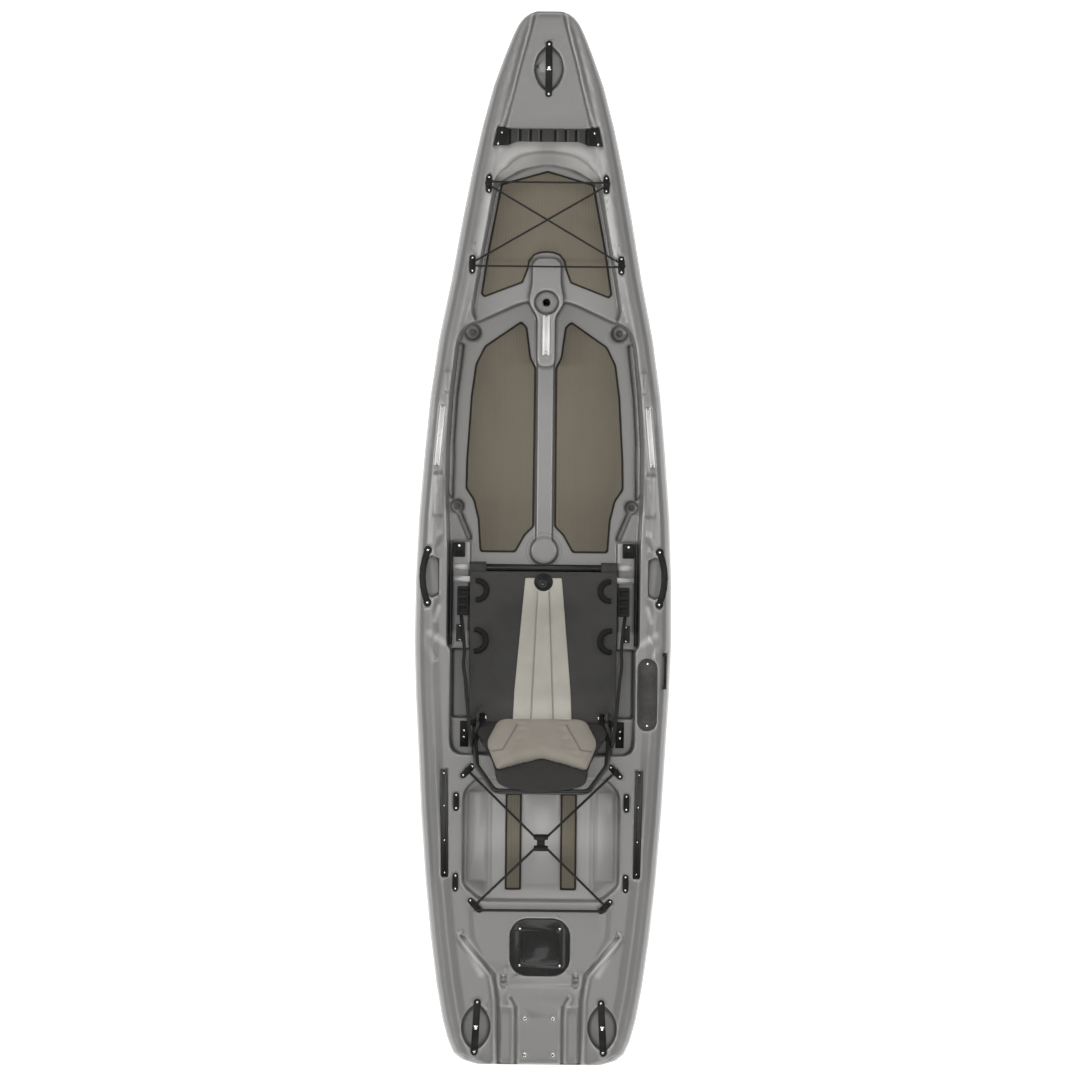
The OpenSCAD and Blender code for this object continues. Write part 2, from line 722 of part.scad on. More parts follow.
module hatch_cut(g) {
    at_hatch() {
        plate(hatch_w + 6 + 2 * g, hatch_l + 6 + 2 * g, hatch_r + 3 + g, -g, 60);
        plate(opening_w + 2 * g, opening_l + 2 * g, 36 + g, g - neck_depth, 10);
        for (p = HATCH_SCREWS) translate([p[0], p[1], -11 - g]) cylinder(h = 20, r = 3.1 + g, $fn = 32);
    }
}

module hatch_cover() {
    color("#2b2c2a") at_hatch() difference() {
        plate(hatch_w, hatch_l, hatch_r, gasket_h + 0.1, 13);
        plate(132, 113, 24, 9, 20);
        plate(148, 138, 34, 0, 6.5);
        for (p = HATCH_SCREWS) translate([p[0], p[1], 0]) cylinder(h = 20, r = 3.1, $fn = 32);
    }
}

module hatch_gasket() {
    color("#1a1a18") at_hatch() difference() {
        plate(hatch_w - 12, hatch_l - 12, 56, 0, gasket_h);
        plate(hatch_w - 30, hatch_l - 30, 50, -1, gasket_h + 1);
    }
}

module hatch_screws() {
    color("silver") at_hatch() for (p = HATCH_SCREWS) translate([p[0], p[1], 0]) {
        translate([0, 0, -10]) cylinder(h = 23, r = 3, $fn = 32);
        translate([0, 0, 13]) cylinder(h = 2.5, r1 = 5.5, r2 = 3.5, $fn = 32);
    }
}

// Pocket in the starboard gunwale
pocket_y = -551;
pocket_x = beam_at(pocket_y) - 77;
pocket_z = deck_at(365, pocket_y) - 2;
pocket_len = 254;
pocket_w = 66;
pocket_wall = 3;
// The trough is deepest in the middle and its floor curves up to a shelf at each end
pocket_deep = 32;
shelf_z = -9;
pocket_screw_y = pocket_len / 2 - 17;
trough_half = 92;
trough_drop = pocket_deep + shelf_z;
trough_R = (trough_half * trough_half / trough_drop + trough_drop) / 2;

module at_pocket() {
    translate([pocket_x, pocket_y, pocket_z]) children();
}

module pocket_cut(g) {
    at_pocket() {
        strip(pocket_len + 2 + 2 * g, pocket_w + 2 + 2 * g, shelf_z - pocket_wall - 1 - g, 60);
        translate([-pocket_w / 2 - 1 - g, -trough_half - 4 - g, -pocket_deep - pocket_wall - 1 - g])
            cube([pocket_w + 2 + 2 * g, 2 * trough_half + 8 + 2 * g, 60]);
    }
}

// A round-bottomed block across the pocket whose floor lies at depth d under the rim
module trough(w, d) {
    translate([0, 0, trough_R - d]) rotate([0, 90, 0])
        cylinder(h = w, r = trough_R, center = true, $fn = 128);
}

module pocket_liner() {
    inner = pocket_w - 2 * pocket_wall;
    color("#55564f") at_pocket() difference() {
        union() {
            strip(pocket_len, pocket_w, shelf_z - pocket_wall, 3);
            intersection() {
                trough(pocket_w, pocket_deep + pocket_wall);
                translate([-pocket_w / 2, -trough_half, -60]) cube([pocket_w, 2 * trough_half, 62]);
            }
        }
        strip(pocket_len - 2 * pocket_wall, inner, shelf_z, 10);
        intersection() {
            trough(inner, pocket_deep);
            translate([-inner / 2, -trough_half, -60]) cube([inner, 2 * trough_half, 62]);
        }
        for (y = [-1, 1]) translate([0, y * pocket_screw_y, shelf_z - 10]) cylinder(h = 20, r = 2.6, $fn = 32);
    }
}

module pocket_screws() {
    color("silver") at_pocket() for (y = [-1, 1]) translate([0, y * pocket_screw_y, shelf_z]) {
        translate([0, 0, -pocket_wall]) cylinder(h = pocket_wall, r = 2.5, $fn = 32);
        cylinder(h = 2.5, r1 = 6, r2 = 3.5, $fn = 32);
    }
}

// Paddle rest clipped to the starboard rail
keeper_y = -466;
keeper_x = beam_at(keeper_y) - 18;
keeper_z = 296;

module keeper_cut(g) {
    translate([keeper_x - g, keeper_y - 66 - g, keeper_z - g]) cube([60, 132 + 2 * g, 80]);
}

module paddle_keeper() {
    color("#1d1d1a") translate([keeper_x, keeper_y, keeper_z]) {
        translate([0, -64, 0]) cube([5, 128, 24]);
        for (y = [-64, 52]) translate([-8, y, 24]) cube([13, 12, 8]);
        translate([0, -64, 24]) cube([5, 128, 8]);
    }
}

// Stern deck: threaded inserts on a rectangle
insert_mid = -half_len + 98;
insert_top = deck_at(0, insert_mid) - 3;
insert_h = 16;

module at_inserts() {
    for (x = [-1, 1]) for (y = [-1, 1])
        translate([x * insert_x / 2, insert_mid + y * insert_y / 2, insert_top]) children();
}

module insert_pockets(g) {
    at_inserts() translate([0, 0, -insert_h - g]) cylinder(h = insert_h + 30, r = 8 + g, $fn = 48);
}

module stern_inserts() {
    color("#b9b9b2") at_inserts() translate([0, 0, -insert_h]) difference() {
        cylinder(h = insert_h, r = 8 - 0.05, $fn = 48);
        translate([0, 0, 2]) cylinder(h = insert_h, r = insert_bore, $fn = 32);
    }
}

// Drain in the transom
drain_z = keel_at(-half_len) + 36;

module at_drain() {
    translate([0, -half_len, drain_z]) rotate([-90, 0, 0]) children();
}

module drain_cut(g) {
    at_drain() {
        translate([0, 0, -1]) cylinder(h = 15 + g, r = 19 + g, $fn = 48);
        cylinder(h = 40, r = 9.1 + g, $fn = 48);
    }
}

module drain_seat() {
    color("#1d1d1a") at_drain() difference() {
        union() {
            translate([0, 0, 10]) cylinder(h = 4, r = 18, $fn = 48);
            translate([0, 0, 13]) cylinder(h = 12, r = 9, $fn = 48);
        }
        cylinder(h = 40, r = 7, $fn = 48);
    }
}

module drain_plug() {
    color("#2b2c2a") at_drain() difference() {
        union() {
            translate([0, 0, 3]) cylinder(h = 6.9, r = 12, $fn = 48);
            translate([0, 0, 9]) cylinder(h = 14, r = 6.95, $fn = 48);
        }
        translate([-1.5, -20, 2]) cube([3, 40, 4]);
    }
}

// Pads on the floors
function moved(pts, x) = [for (p = pts) [p[0] + x, p[1]]];
function turned(pts) = [for (i = [len(pts) - 1:-1:0]) [-pts[i][0], pts[i][1]]];
pad_h = 6;
pad_rim = 7;

module floor_pad(pts, z) {
    slab(pts, z, z + pad_h - 2);
    slab(outset(pts, -pad_rim), z + pad_h - 3, z + pad_h);
}

FRONT_PAD = placed([[84, 908], [222, 855], [234, 868], [211, 1020], [166, 1260], [0, 1308],
    [-166, 1260], [-211, 1020], [-234, 868], [-222, 855], [-84, 908], [-65, 958], [-60, 985],
    [-44, 1006], [-22, 1014], [0, 1016], [22, 1014], [44, 1006], [60, 985], [65, 958]]);

module front_pad() {
    color("#75705f") floor_pad(FRONT_PAD, front_z);
}

FOOT_PAD = placed([[101, -51], [227, -51], [230, -37], [237, 66], [254, 135], [282, 176], [280, 278],
    [266, 505], [251, 620], [219, 685], [89, 775], [67, 754], [52, 644], [34, 608], [36, 41], [66, 12]]);

module foot_pad_right() {
    color("#75705f") floor_pad(FOOT_PAD, floor_z);
}

module foot_pad_left() {
    color("#75705f") floor_pad(turned(FOOT_PAD), floor_z);
}

TANK_STRIP = placed([[69, -1250], [127, -1250], [127, -906], [69, -906]]);

module tank_pads() {
    color("#75705f") {
        floor_pad(TANK_STRIP, tank_z);
        floor_pad(turned(TANK_STRIP), tank_z);
    }
}

// Raised ribs on the tank floor
module tank_ribs() {
    each_side() translate([180, place_y(-1262), tank_z - 1])
        cube([8, place_y(-878) - place_y(-1262), 6]);
}

module recesses(g) {
    at_bow_handle() eye(g);
    at_stern_handles() eye(g);
    at_side_handles() side_pocket(g);
    bracket_seats(g);
    track_channels(g);
    eye_seats(g);
    hatch_cut(g);
    pocket_cut(g);
    keeper_cut(g);
    insert_pockets(g);
    drain_cut(g);
    translate([0, recess_y, pod_z - 40 - g]) cylinder(h = 80, r = recess_r + g, $fn = 64);
}

module void() {
    loft([for (row = VOID_ROWS) void_ring(row)]);
    slab(outset(mirrored(soft(POD, POD_SOFT)), -wall), floor_z - wall - 1, pod_z - wall);
    each_side() for (l = [FRONT_LEDGE, REAR_LEDGE])
        ledge(l, wall, floor_z - wall - 1, ledge_z - wall);
}

module hull() {
    color("#878783") difference() {
        union() {
            difference() {
                loft([for (row = STATIONS) outer_ring(row)]);
                cockpit_cut();
                front_cut();
                tank_cut();
            }
            pod();
            spine();
            ledges();
            tank_ribs();
            eye_bosses();
        }
        channels(0);
        scupper_dishes(0);
        scupper_holes(scupper_r);
        recesses(0);
        difference() {
            void();
            scupper_holes(scupper_r + wall);
            scupper_dishes(wall);
            channels(wall);
            recesses(wall);
        }
    }
}

// Seat mounts on the ledges
module seat_keepers() {
    color("#1d1d1a") each_side() translate([301, -42, ledge_z]) difference() {
        plate(43, 53, 5, 0, 14);
        translate([-12, -40, 7]) cube([24, 36, 20]);
        translate([0, 14, -1]) cylinder(h = 30, r = 3.1, $fn = 32);
    }
}

module side_latches() {
    color("#33332d") each_side() translate([295, -338, ledge_z]) difference() {
        plate(28, 62, 4, 0, 10);
        plate(16, 40, 3, 4, 20);
        for (y = [-25, 25]) translate([0, y, -1]) cylinder(h = 20, r = 2.1, $fn = 32);
    }
}

module ledge_screws() {
    color("silver") each_side() {
        translate([301, -28, ledge_z]) {
            cylinder(h = 14, r = 3, $fn = 32);
            translate([0, 0, 14]) cylinder(h = 3, r1 = 6, r2 = 4, $fn = 32);
        }
        for (y = [-25, 25]) translate([295, -338 + y, ledge_z]) {
            cylinder(h = 10, r = 2, $fn = 32);
            translate([0, 0, 10]) cylinder(h = 2, r1 = 3.4, r2 = 2.4, $fn = 32);
        }
    }
}

// Seat frame
seat_z = ledge_z + seat_rise;
seat_foot = ledge_z + gap;
front_y = -105;
block_y0 = -128;
block_y1 = -84;
block_x0 = 204;
block_x1 = 262;
rear_y = -600;
side_end = -668;
hinge_y = -636;
hinge_z = seat_z + 24;
leg_r = 10;
leg_x = 212;
pin_r = 4;
running = 0.05;

module along_y(x, y0, y1, z, r) {
    translate([x, y0, z]) rotate([-90, 0, 0]) cylinder(h = y1 - y0, r = r, $fn = 64);
}

module along_x(x0, x1, y, z, r) {
    translate([x0, y, z]) rotate([0, 90, 0]) cylinder(h = x1 - x0, r = r, $fn = 64);
}

module seat_frame() {
    color("#26261f") union() {
        each_side() along_y(seat_x, side_end, block_y0, seat_z, tube_r);
        along_x(-seat_x, seat_x, rear_y, seat_z, tube_r);
    }
}

module front_tube() {
    color("#1a1a18") along_x(-block_x0, block_x0, front_y, seat_z, tube_r);
}

module seat_clamps() {
    color("#3c3c38") each_side() difference() {
        translate([block_x0, block_y0, seat_foot]) cube([block_x1 - block_x0, block_y1 - block_y0, seat_rise + 12]);
        translate([block_x0 - 1, block_y1 - 6, seat_z - 8]) cube([block_x1, 14, 40]);
    }
}

arm_h = 8;
arm_out = 322;

module seat_arms() {
    color("#8d8e88") each_side() {
        translate([block_x1, -114, seat_foot]) cube([arm_out - block_x1, 22, arm_h]);
        difference() {
            union() {
                translate([236, -158, seat_foot]) cube([arm_out - 236, 22, arm_h]);
                translate([238, -156, seat_foot + arm_h - 1]) cube([20, 18, 14]);
            }
            along_y(seat_x, -200, -100, seat_z, tube_r + running);
        }
    }
}

module seat_feet() {
    x = seat_x + tube_r + gap;
    color("#1d1d1a") each_side() difference() {
        union() {
            translate([x, -743, seat_foot]) cube([30, 92, 6]);
            translate([x, -702, seat_foot]) cube([6, 60, seat_rise + 12]);
        }
        for (y = [-685, -708]) translate([x + 16, y, seat_foot - 1]) cylinder(h = 20, r = 2.6, $fn = 32);
    }
}

module foot_rivets() {
    x = seat_x + tube_r + gap;
    color("silver") each_side() for (y = [-685, -708]) translate([x + 16, y, seat_foot]) {
        cylinder(h = 6, r = 2.5, $fn = 32);
        translate([0, 0, 6]) cylinder(h = 2.5, r1 = 5, r2 = 3, $fn = 32);
    }
}

// A cloth or padded solid between two grids of points
module quilt(top, low) {
    m = len(top);
    n = len(top[0]);
    points = concat([for (r = top) each r], [for (r = low) each r]);
    k = m * n;
    faces = concat(
        [for (j = [0:m - 2]) for (i = [0:n - 2]) let (a = j * n + i)
            each [[a, a + n, a + 1], [a + 1, a + n, a + n + 1]]],
        [for (j = [0:m - 2]) for (i = [0:n - 2]) let (a = k + j * n + i)
            each [[a, a + 1, a + n], [a + 1, a + n + 1, a + n]]],
        [for (j = [0:m - 2]) let (a = j * n, b = j * n + n - 1)
            each [[a, k + a, a + n], [a + n, k + a, k + a + n],
                [b, b + n, k + b], [b + n, k + b + n, k + b]]],
        [for (i = [0:n - 2]) let (b = (m - 1) * n + i)
            each [[i, i + 1, k + i], [i + 1, k + i + 1, k + i],
                [b, k + b, b + 1], [b + 1, k + b, k + b + 1]]]);
    polyhedron(points, faces, convexity = 6);
}

// Height of the sling's underside: over the side tubes at the edges, sagging between them
sling_y0 = -613;
sling_y1 = -119;
sling_x = 262;
sling_t = 4;
function ease(t) = let (c = min(1, max(0, t))) c * c * (3 - 2 * c);
function hang(x, y) =
    seat_z + tube_r + gap
    - sag * (1 - pow(min(1, abs(x) / 228), 2)) * ease((sling_y1 - 70 - y) / 150)
        * ease((y - sling_y0 - 30) / 170);
SLING_X = [-262, -250, -236, -205, -170, -130, -90, -45, 0, 45, 90, 130, 170, 205, 236, 250, 262];
SLING_Y = [sling_y1, -140, -165, -190, -215, -250, -290, -335, -380, -430, -470, -505, -540, -572,
    -600, sling_y0];

module seat_sling() {
    grid = function(h) [for (y = SLING_Y) [for (x = SLING_X) [x, y, hang(x, y) + h]]];
    color("#40403c") quilt(grid(sling_t), grid(0));
}

// Centre panel: three sewn strips that widen aft
panel_t = 6;
panel_lift = 0.9;
PANEL_U = [-1, -0.9, -0.66, -0.42, -0.36, -0.30, -0.15, 0, 0.15, 0.30, 0.36, 0.42, 0.66, 0.9, 1];
PANEL_H = [0.3, 0.8, 1, 0.8, 0.35, 0.8, 1, 1, 1, 0.8, 0.35, 0.8, 1, 0.8, 0.3];
PANEL_Y = [for (i = [1:len(SLING_Y) - 2]) SLING_Y[i]];
function panel_half(y) = 65 + (PANEL_Y[0] - y) / (PANEL_Y[0] - PANEL_Y[len(PANEL_Y) - 1]) * 40;

module seat_centre_panel() {
    grid = function(k) [for (y = PANEL_Y) [for (i = [0:len(PANEL_U) - 1]) let (x = PANEL_U[i] * panel_half(y))
        [x, y, hang(x, y) + sling_t + panel_lift + k * panel_t * PANEL_H[i]]]];
    color("#a8a59c") difference() {
        quilt(grid(1), grid(0));
        translate([0, plate_y, seat_z - 20]) cylinder(h = 80, r = 33, $fn = 48);
    }
}

// Plate with an eyelet where the panel starts
plate_y = -154;

module sling_plate() {
    z = seat_z + tube_r + sling_t + 2 * gap;
    color("#1a1a18") translate([0, plate_y, z]) difference() {
        union() {
            cylinder(h = 6, r = 31, $fn = 48);
            translate([0, 0, 5]) cylinder(h = 3, r1 = 20, r2 = 16, $fn = 48);
        }
        translate([0, 0, -1]) cylinder(h = 20, r = 8, $fn = 32);
    }
}

module seat_buckles() {
    color("#1a1a18") each_side() translate([286, -224, seat_foot]) {
        difference() {
            plate(40, 104, 6, 0, 22);
            translate([-12, -40, 12]) cube([24, 20, 20]);
            translate([-12, -8, 12]) cube([24, 16, 20]);
            translate([-12, 20, 12]) cube([24, 20, 20]);
        }
        for (y = [-30, 14]) translate([-24.5, y, 10]) cube([5, 16, 12]);
    }
}

// Loops sewn to the sling beside the side tubes
module seat_loops() {
    z = seat_z + tube_r + sling_t + 2 * gap + 4;
    color("#1a1a18") each_side() for (p = [[236, -186, 38], [240, -364, 42]])
        translate([p[0], p[1], z]) rotate([0, 0, 90]) rotate_extrude(angle = 180, $fn = 64)
            translate([p[2] - 4, 0]) circle(r = 4, $fn = 24);
}

module hinge_plates() {
    x0 = leg_x + leg_r + gap + 2;
    color("#33332d") each_side() difference() {
        translate([x0, hinge_y - 18, seat_z - 8]) cube([seat_x - 8 - x0, 36, hinge_z - seat_z + 20]);
        along_y(seat_x, -800, -500, seat_z, tube_r + running);
        translate([seat_x - 13, hinge_y - 30, seat_z + tube_r - 1]) cube([30, 60, 60]);
        along_x(x0 - 5, seat_x, hinge_y, hinge_z, pin_r + running);
    }
}

module hinge_pins() {
    color("silver") each_side() {
        along_x(leg_x - leg_r - gap, seat_x - 13, hinge_y, hinge_z, pin_r);
        along_x(leg_x - leg_r - gap - 4, leg_x - leg_r - gap, hinge_y, hinge_z, 7);
    }
}

// A path in the XY plane whose inner corners are arcs of radius R
function arc_corner(p, i, R, steps) =
    let (
        a = unit(p[i] - p[i - 1]),
        b = unit(p[i + 1] - p[i]),
        turn = acos(a * b),
        side = sign(a[0] * b[1] - a[1] * b[0]),
        s = p[i] - a * R * tan(turn / 2),
        c = s + side * R * [-a[1], a[0]],
        from = atan2(s[1] - c[1], s[0] - c[0])
    )
    [for (k = [0:steps]) c + R * [cos(from + side * turn * k / steps), sin(from + side * turn * k / steps)]];

function rounded_path(p, R, steps) = concat(
    [p[0]],
    [for (i = [1:len(p) - 2]) each arc_corner(p, i, R, steps)],
    [p[len(p) - 1]]);

// Backrest, laid out flat from its hinge and then stood up: its front faces down when flat
BACK_PATH = [[leg_x, -12], [leg_x, 45], [238, 140], [230, 280], [165, back_len], [-165, back_len],
    [-230, 280], [-238, 140], [-leg_x, 45], [-leg_x, -12]];

module stand_up() {
    translate([0, hinge_y, hinge_z]) rotate([90 + recline, 0, 0]) children();
}

module back_frame() {
    color("#1a1a18") stand_up() difference() {
        cord([for (p = rounded_path(BACK_PATH, 36, 4)) [p[0], p[1], 0]], leg_r, 12);
        for (s = [-1, 1]) translate([s * leg_x - 20, 0, 0]) rotate([0, 90, 0])
            cylinder(h = 40, r = pin_r + running, $fn = 48);
    }
}

FABRIC = [[204, 34], [222, 100], [206, 178], [168, 328], [158, 400], [110, 430], [20, back_len + 22]];

module back_fabric() {
    color("#3a3a37") stand_up() slab(mirrored(FABRIC), -leg_r - gap - 4, -leg_r - gap);
}

// Back pad: a crowned cushion with a seam on each side that sets off its wings
PAD = [[20, 48], [158, 50], [200, 178], [162, 328], [10, 266]];
PAD_SOFT = [0, 26, 30, 16, 0];
pad_mid = [0, 165];
pad_t = 30;
SEAM = [[92, 40], [72, 150], [132, 300]];
PAD_RINGS = [[1, 0], [1.01, 0.3], [0.98, 0.55], [0.93, 0.75], [0.84, 0.9], [0.72, 0.97], [0.58, 1],
    [0.44, 1], [0.3, 1], [0.15, 1]];

function from_line(p, a, b) =
    let (d = b - a, t = min(1, max(0, ((p - a) * d) / (d * d)))) norm(p - a - d * t);
function seam_dip(p) =
    let (q = [abs(p[0]), p[1]], d = min(from_line(q, SEAM[0], SEAM[1]), from_line(q, SEAM[1], SEAM[2])))
    6 * max(0, 1 - d / 14);
function drawn(pts) = [for (i = [0:len(pts) - 1]) let (a = pts[i], b = pts[(i + 1) % len(pts)])
    each [for (k = [0:2]) a + (b - a) * k / 3]];

module back_pad() {
    outline = drawn(mirrored(soft(PAD, PAD_SOFT)));
    n = len(outline);
    m = len(PAD_RINGS);
    base = -leg_r - 2 * gap - 4;
    rings = [for (r = PAD_RINGS) [for (p = outline) let (q = pad_mid + (p - pad_mid) * r[0])
        [q[0], q[1], base - pad_t * r[1] + (r[1] > 0.8 ? seam_dip(q) : 0)]]];
    top = [pad_mid[0], pad_mid[1], base - pad_t];
    low = [pad_mid[0], pad_mid[1], base];
    skin = [for (j = [0:m - 2]) for (i = [0:n - 1]) let (a = j * n + i, b = j * n + (i + 1) % n)
        each [[a, b + n, b], [a, a + n, b + n]]];
    caps = [for (i = [0:n - 1]) let (j = (i + 1) % n)
        each [[n * m + 1, i, j], [n * m, (m - 1) * n + j, (m - 1) * n + i]]];
    color("#8f8a7d") stand_up() polyhedron(concat([for (r = rings) each r], [top, low]),
        concat(skin, caps), convexity = 6);
}

// Tension straps from the buckles up to the backrest frame
STRAP_PATH = [[290, -276.3, 216], [284, -330, 240], [278, -420, 275], [273, -500, 306],
    [266, -580, 336], [257, -660, 366], [248.4, -738, 392]];
strap_h = 18;
strap_t = 2.4;

module back_straps() {
    top = [for (p = STRAP_PATH) [p + [0, 0, strap_h / 2], p + [strap_t, 0, strap_h / 2]]];
    low = [for (p = STRAP_PATH) [p - [0, 0, strap_h / 2], p + [strap_t, 0, -strap_h / 2]]];
    color("#1a1a18") each_side() quilt(top, low);
}

hull();
front_pad();
foot_pad_left();
foot_pad_right();
tank_pads();
centre_track();
gunwale_tracks();
rear_tracks();
track_screws();
bow_handle();
stern_handles();
side_handles();
handle_bolts();
cross_bar();
cross_bar_brackets();
cross_bar_screws();
front_pad_eyes();
rear_pad_eyes();
corner_pad_eyes();
pad_eye_rivets();
front_bungee();
rear_bungee();
bungee_hook();
hatch_cover();
hatch_gasket();
hatch_screws();
pocket_liner();
pocket_screws();
paddle_keeper();
stern_inserts();
drain_seat();
drain_plug();
seat_keepers();
side_latches();
ledge_screws();
seat_frame();
front_tube();
seat_clamps();
seat_arms();
seat_feet();
foot_rivets();
seat_sling();
seat_centre_panel();
sling_plate();
seat_buckles();
seat_loops();
hinge_plates();
hinge_pins();
back_frame();
back_fabric();
back_pad();
back_straps();
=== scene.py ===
import math
import bmesh
import bpy
import numpy as np
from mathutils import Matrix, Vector


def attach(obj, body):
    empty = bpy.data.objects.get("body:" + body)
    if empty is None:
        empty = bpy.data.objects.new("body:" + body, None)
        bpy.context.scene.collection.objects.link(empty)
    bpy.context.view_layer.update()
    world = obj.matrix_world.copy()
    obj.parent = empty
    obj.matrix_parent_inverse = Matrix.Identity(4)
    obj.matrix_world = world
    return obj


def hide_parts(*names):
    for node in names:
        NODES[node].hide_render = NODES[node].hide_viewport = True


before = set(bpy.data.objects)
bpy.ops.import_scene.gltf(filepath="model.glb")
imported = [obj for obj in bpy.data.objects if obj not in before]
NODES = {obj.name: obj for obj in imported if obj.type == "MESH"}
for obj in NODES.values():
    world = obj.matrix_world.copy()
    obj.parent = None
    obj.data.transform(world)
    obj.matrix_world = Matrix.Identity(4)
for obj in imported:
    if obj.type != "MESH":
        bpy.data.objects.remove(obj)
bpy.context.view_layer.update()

# Places and sizes, in metres, that several pieces share
COCKPIT_FLOOR = 0.120
FRONT_FLOOR = 0.215
TANK_FLOOR = 0.200
# Thickness at which a pad's top face begins
PAD_STEP = 0.0045
HATCH_Y = -1.450
NECK_TOP = 0.300
DRAIN_Z = 0.132
STERN_Y = -1.82
POD_HOLE_Y = 0.839
DISC_Y = -0.044
RING_PLATE_PLACE = (-0.002, -0.160)


# Working with objects

def deselect():
    if bpy.context.object and bpy.context.object.mode != "OBJECT":
        bpy.ops.object.mode_set(mode="OBJECT")
    bpy.ops.object.select_all(action="DESELECT")


def make_active(obj):
    deselect()
    obj.select_set(True)
    bpy.context.view_layer.objects.active = obj


def apply_modifier(obj, kind, **settings):
    make_active(obj)
    modifier = obj.modifiers.new(kind.title(), kind)
    for key, value in settings.items():
        setattr(modifier, key, value)
    bpy.ops.object.modifier_apply(modifier=modifier.name)


def mesh_object(name, points, faces):
    mesh = bpy.data.meshes.new(name)
    mesh.from_pydata([tuple(p) for p in points], [], [tuple(f) for f in faces])
    obj = bpy.data.objects.new(name, mesh)
    bpy.context.scene.collection.objects.link(obj)
    return obj


def copy_of(node, name):
    obj = bpy.data.objects.new(name, NODES[node].data.copy())
    bpy.context.scene.collection.objects.link(obj)
    obj.data.materials.clear()
    make_active(obj)
    bpy.ops.object.mode_set(mode="EDIT")
    bpy.ops.mesh.select_all(action="SELECT")
    bpy.ops.mesh.remove_doubles(threshold=2e-6)
    bpy.ops.object.mode_set(mode="OBJECT")
    return obj


def smooth_shade(obj, degrees=35):
    make_active(obj)
    bpy.ops.object.shade_smooth_by_angle(angle=math.radians(degrees))


def points_of(obj):
    co = np.empty(len(obj.data.vertices) * 3, np.float32)
    obj.data.vertices.foreach_get("co", co)
    return co.reshape(-1, 3).astype(float)


def set_points(obj, co):
    obj.data.vertices.foreach_set("co", co.astype(np.float32).ravel())
    obj.data.update()


def finish_piece(obj, material, body, slot, *nodes):
    obj.data.materials.clear()
    obj.data.materials.append(material)
    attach(obj, body)
    if nodes:
        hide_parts(*nodes)
    return obj


# Shader maths in Python expressions

class Value:
    """A socket of a material that can stand in an expression."""

    def __init__(self, paint, socket):
        self.paint = paint
        self.socket = socket

    def step(self, operation, *values):
        return self.paint.node("ShaderNodeMath", {"operation": operation}, *values)

    def __add__(self, other): return self.step("ADD", self, other)
    def __radd__(self, other): return self.step("ADD", other, self)
    def __sub__(self, other): return self.step("SUBTRACT", self, other)
    def __rsub__(self, other): return self.step("SUBTRACT", other, self)
    def __mul__(self, other): return self.step("MULTIPLY", self, other)
    def __rmul__(self, other): return self.step("MULTIPLY", other, self)
    def __truediv__(self, other): return self.step("DIVIDE", self, other)
    def power(self, other): return self.step("POWER", self, other)
    def size(self): return self.step("ABSOLUTE", self)
    def sine(self): return self.step("SINE", self)
    def highest(self, other): return self.step("MAXIMUM", self, other)
    def lowest(self, other): return self.step("MINIMUM", self, other)
    def fraction(self): return self.step("FRACT", self)

    def ramp(self, start, end):
        """0 before start, 1 after end, straight between them."""
        return self.paint.node("ShaderNodeMapRange", {"clamp": True}, self, start, end, 0.0, 1.0)


class Paint:
    """A Principled material and the nodes that are added to it."""

    def __init__(self, name, base=(0.5, 0.5, 0.5), roughness=0.5, metallic=0.0, **fixed):
        self.material = bpy.data.materials.new(name)
        self.material.use_nodes = True
        self.tree = self.material.node_tree
        self.shader = self.tree.nodes["Principled BSDF"]
        self.put("Base Color", (*base, 1.0))
        self.put("Roughness", roughness)
        self.put("Metallic", metallic)
        for key, value in fixed.items():
            self.put(key.replace("_", " ").title().replace("Ior", "IOR"), value)
        self.place = self.node("ShaderNodeTexCoord", {}, output="Object")
        split = self.tree.nodes.new("ShaderNodeSeparateXYZ")
        self.tree.links.new(self.place.socket, split.inputs[0])
        self.x, self.y, self.z = (Value(self, split.outputs[i]) for i in range(3))
        self.heights = []

    def put(self, name, value):
        socket = self.shader.inputs[name]
        if isinstance(value, Value):
            self.tree.links.new(value.socket, socket)
        else:
            socket.default_value = value

    def node(self, kind, settings, *values, output=0, **named):
        node = self.tree.nodes.new(kind)
        for key, value in settings.items():
            setattr(node, key, value)
        pairs = list(zip(node.inputs, values)) + [(node.inputs[k], v) for k, v in named.items()]
        for socket, value in pairs:
            if isinstance(value, Value):
                self.tree.links.new(value.socket, socket)
            else:
                socket.default_value = value
        return Value(self, node.outputs[output])

    def stretched(self, sx, sy, sz):
        return self.node("ShaderNodeMapping", {}, self.place, Scale=(sx, sy, sz))

    def noise(self, scale, detail=2.0, rough=0.5, place=None):
        return self.node("ShaderNodeTexNoise", {}, Vector=place or self.place, Scale=scale,
                         Detail=detail, Roughness=rough, output="Fac")

    def plan_reach(self, x, y):
        """Distance in plan from the point x, y."""
        across, along = self.x - x, self.y - y
        return (across * across + along * along).power(0.5)

    def blend(self, factor, a, b):
        """Colour a where the factor is 0, colour b where it is 1."""
        node = self.tree.nodes.new("ShaderNodeMix")
        node.data_type = "RGBA"
        colours = [c if isinstance(c, Value) else (*c, 1.0) for c in (a, b)]
        for socket, value in zip((node.inputs[0], node.inputs[6], node.inputs[7]), (factor, *colours)):
            if isinstance(value, Value):
                self.tree.links.new(value.socket, socket)
            else:
                socket.default_value = value
        return Value(self, node.outputs[2])

    def relief(self, height, distance, strength=1.0):
        """Adds a height field to the surface; distance is its depth in metres."""
        previous = self.heights[-1] if self.heights else None
        named = {"Height": height, "Distance": distance, "Strength": strength}
        if previous:
            named["Normal"] = previous
        bump = self.node("ShaderNodeBump", {}, **named)
        self.heights.append(bump)
        self.put("Normal", bump)

    def done(self):
        return self.material


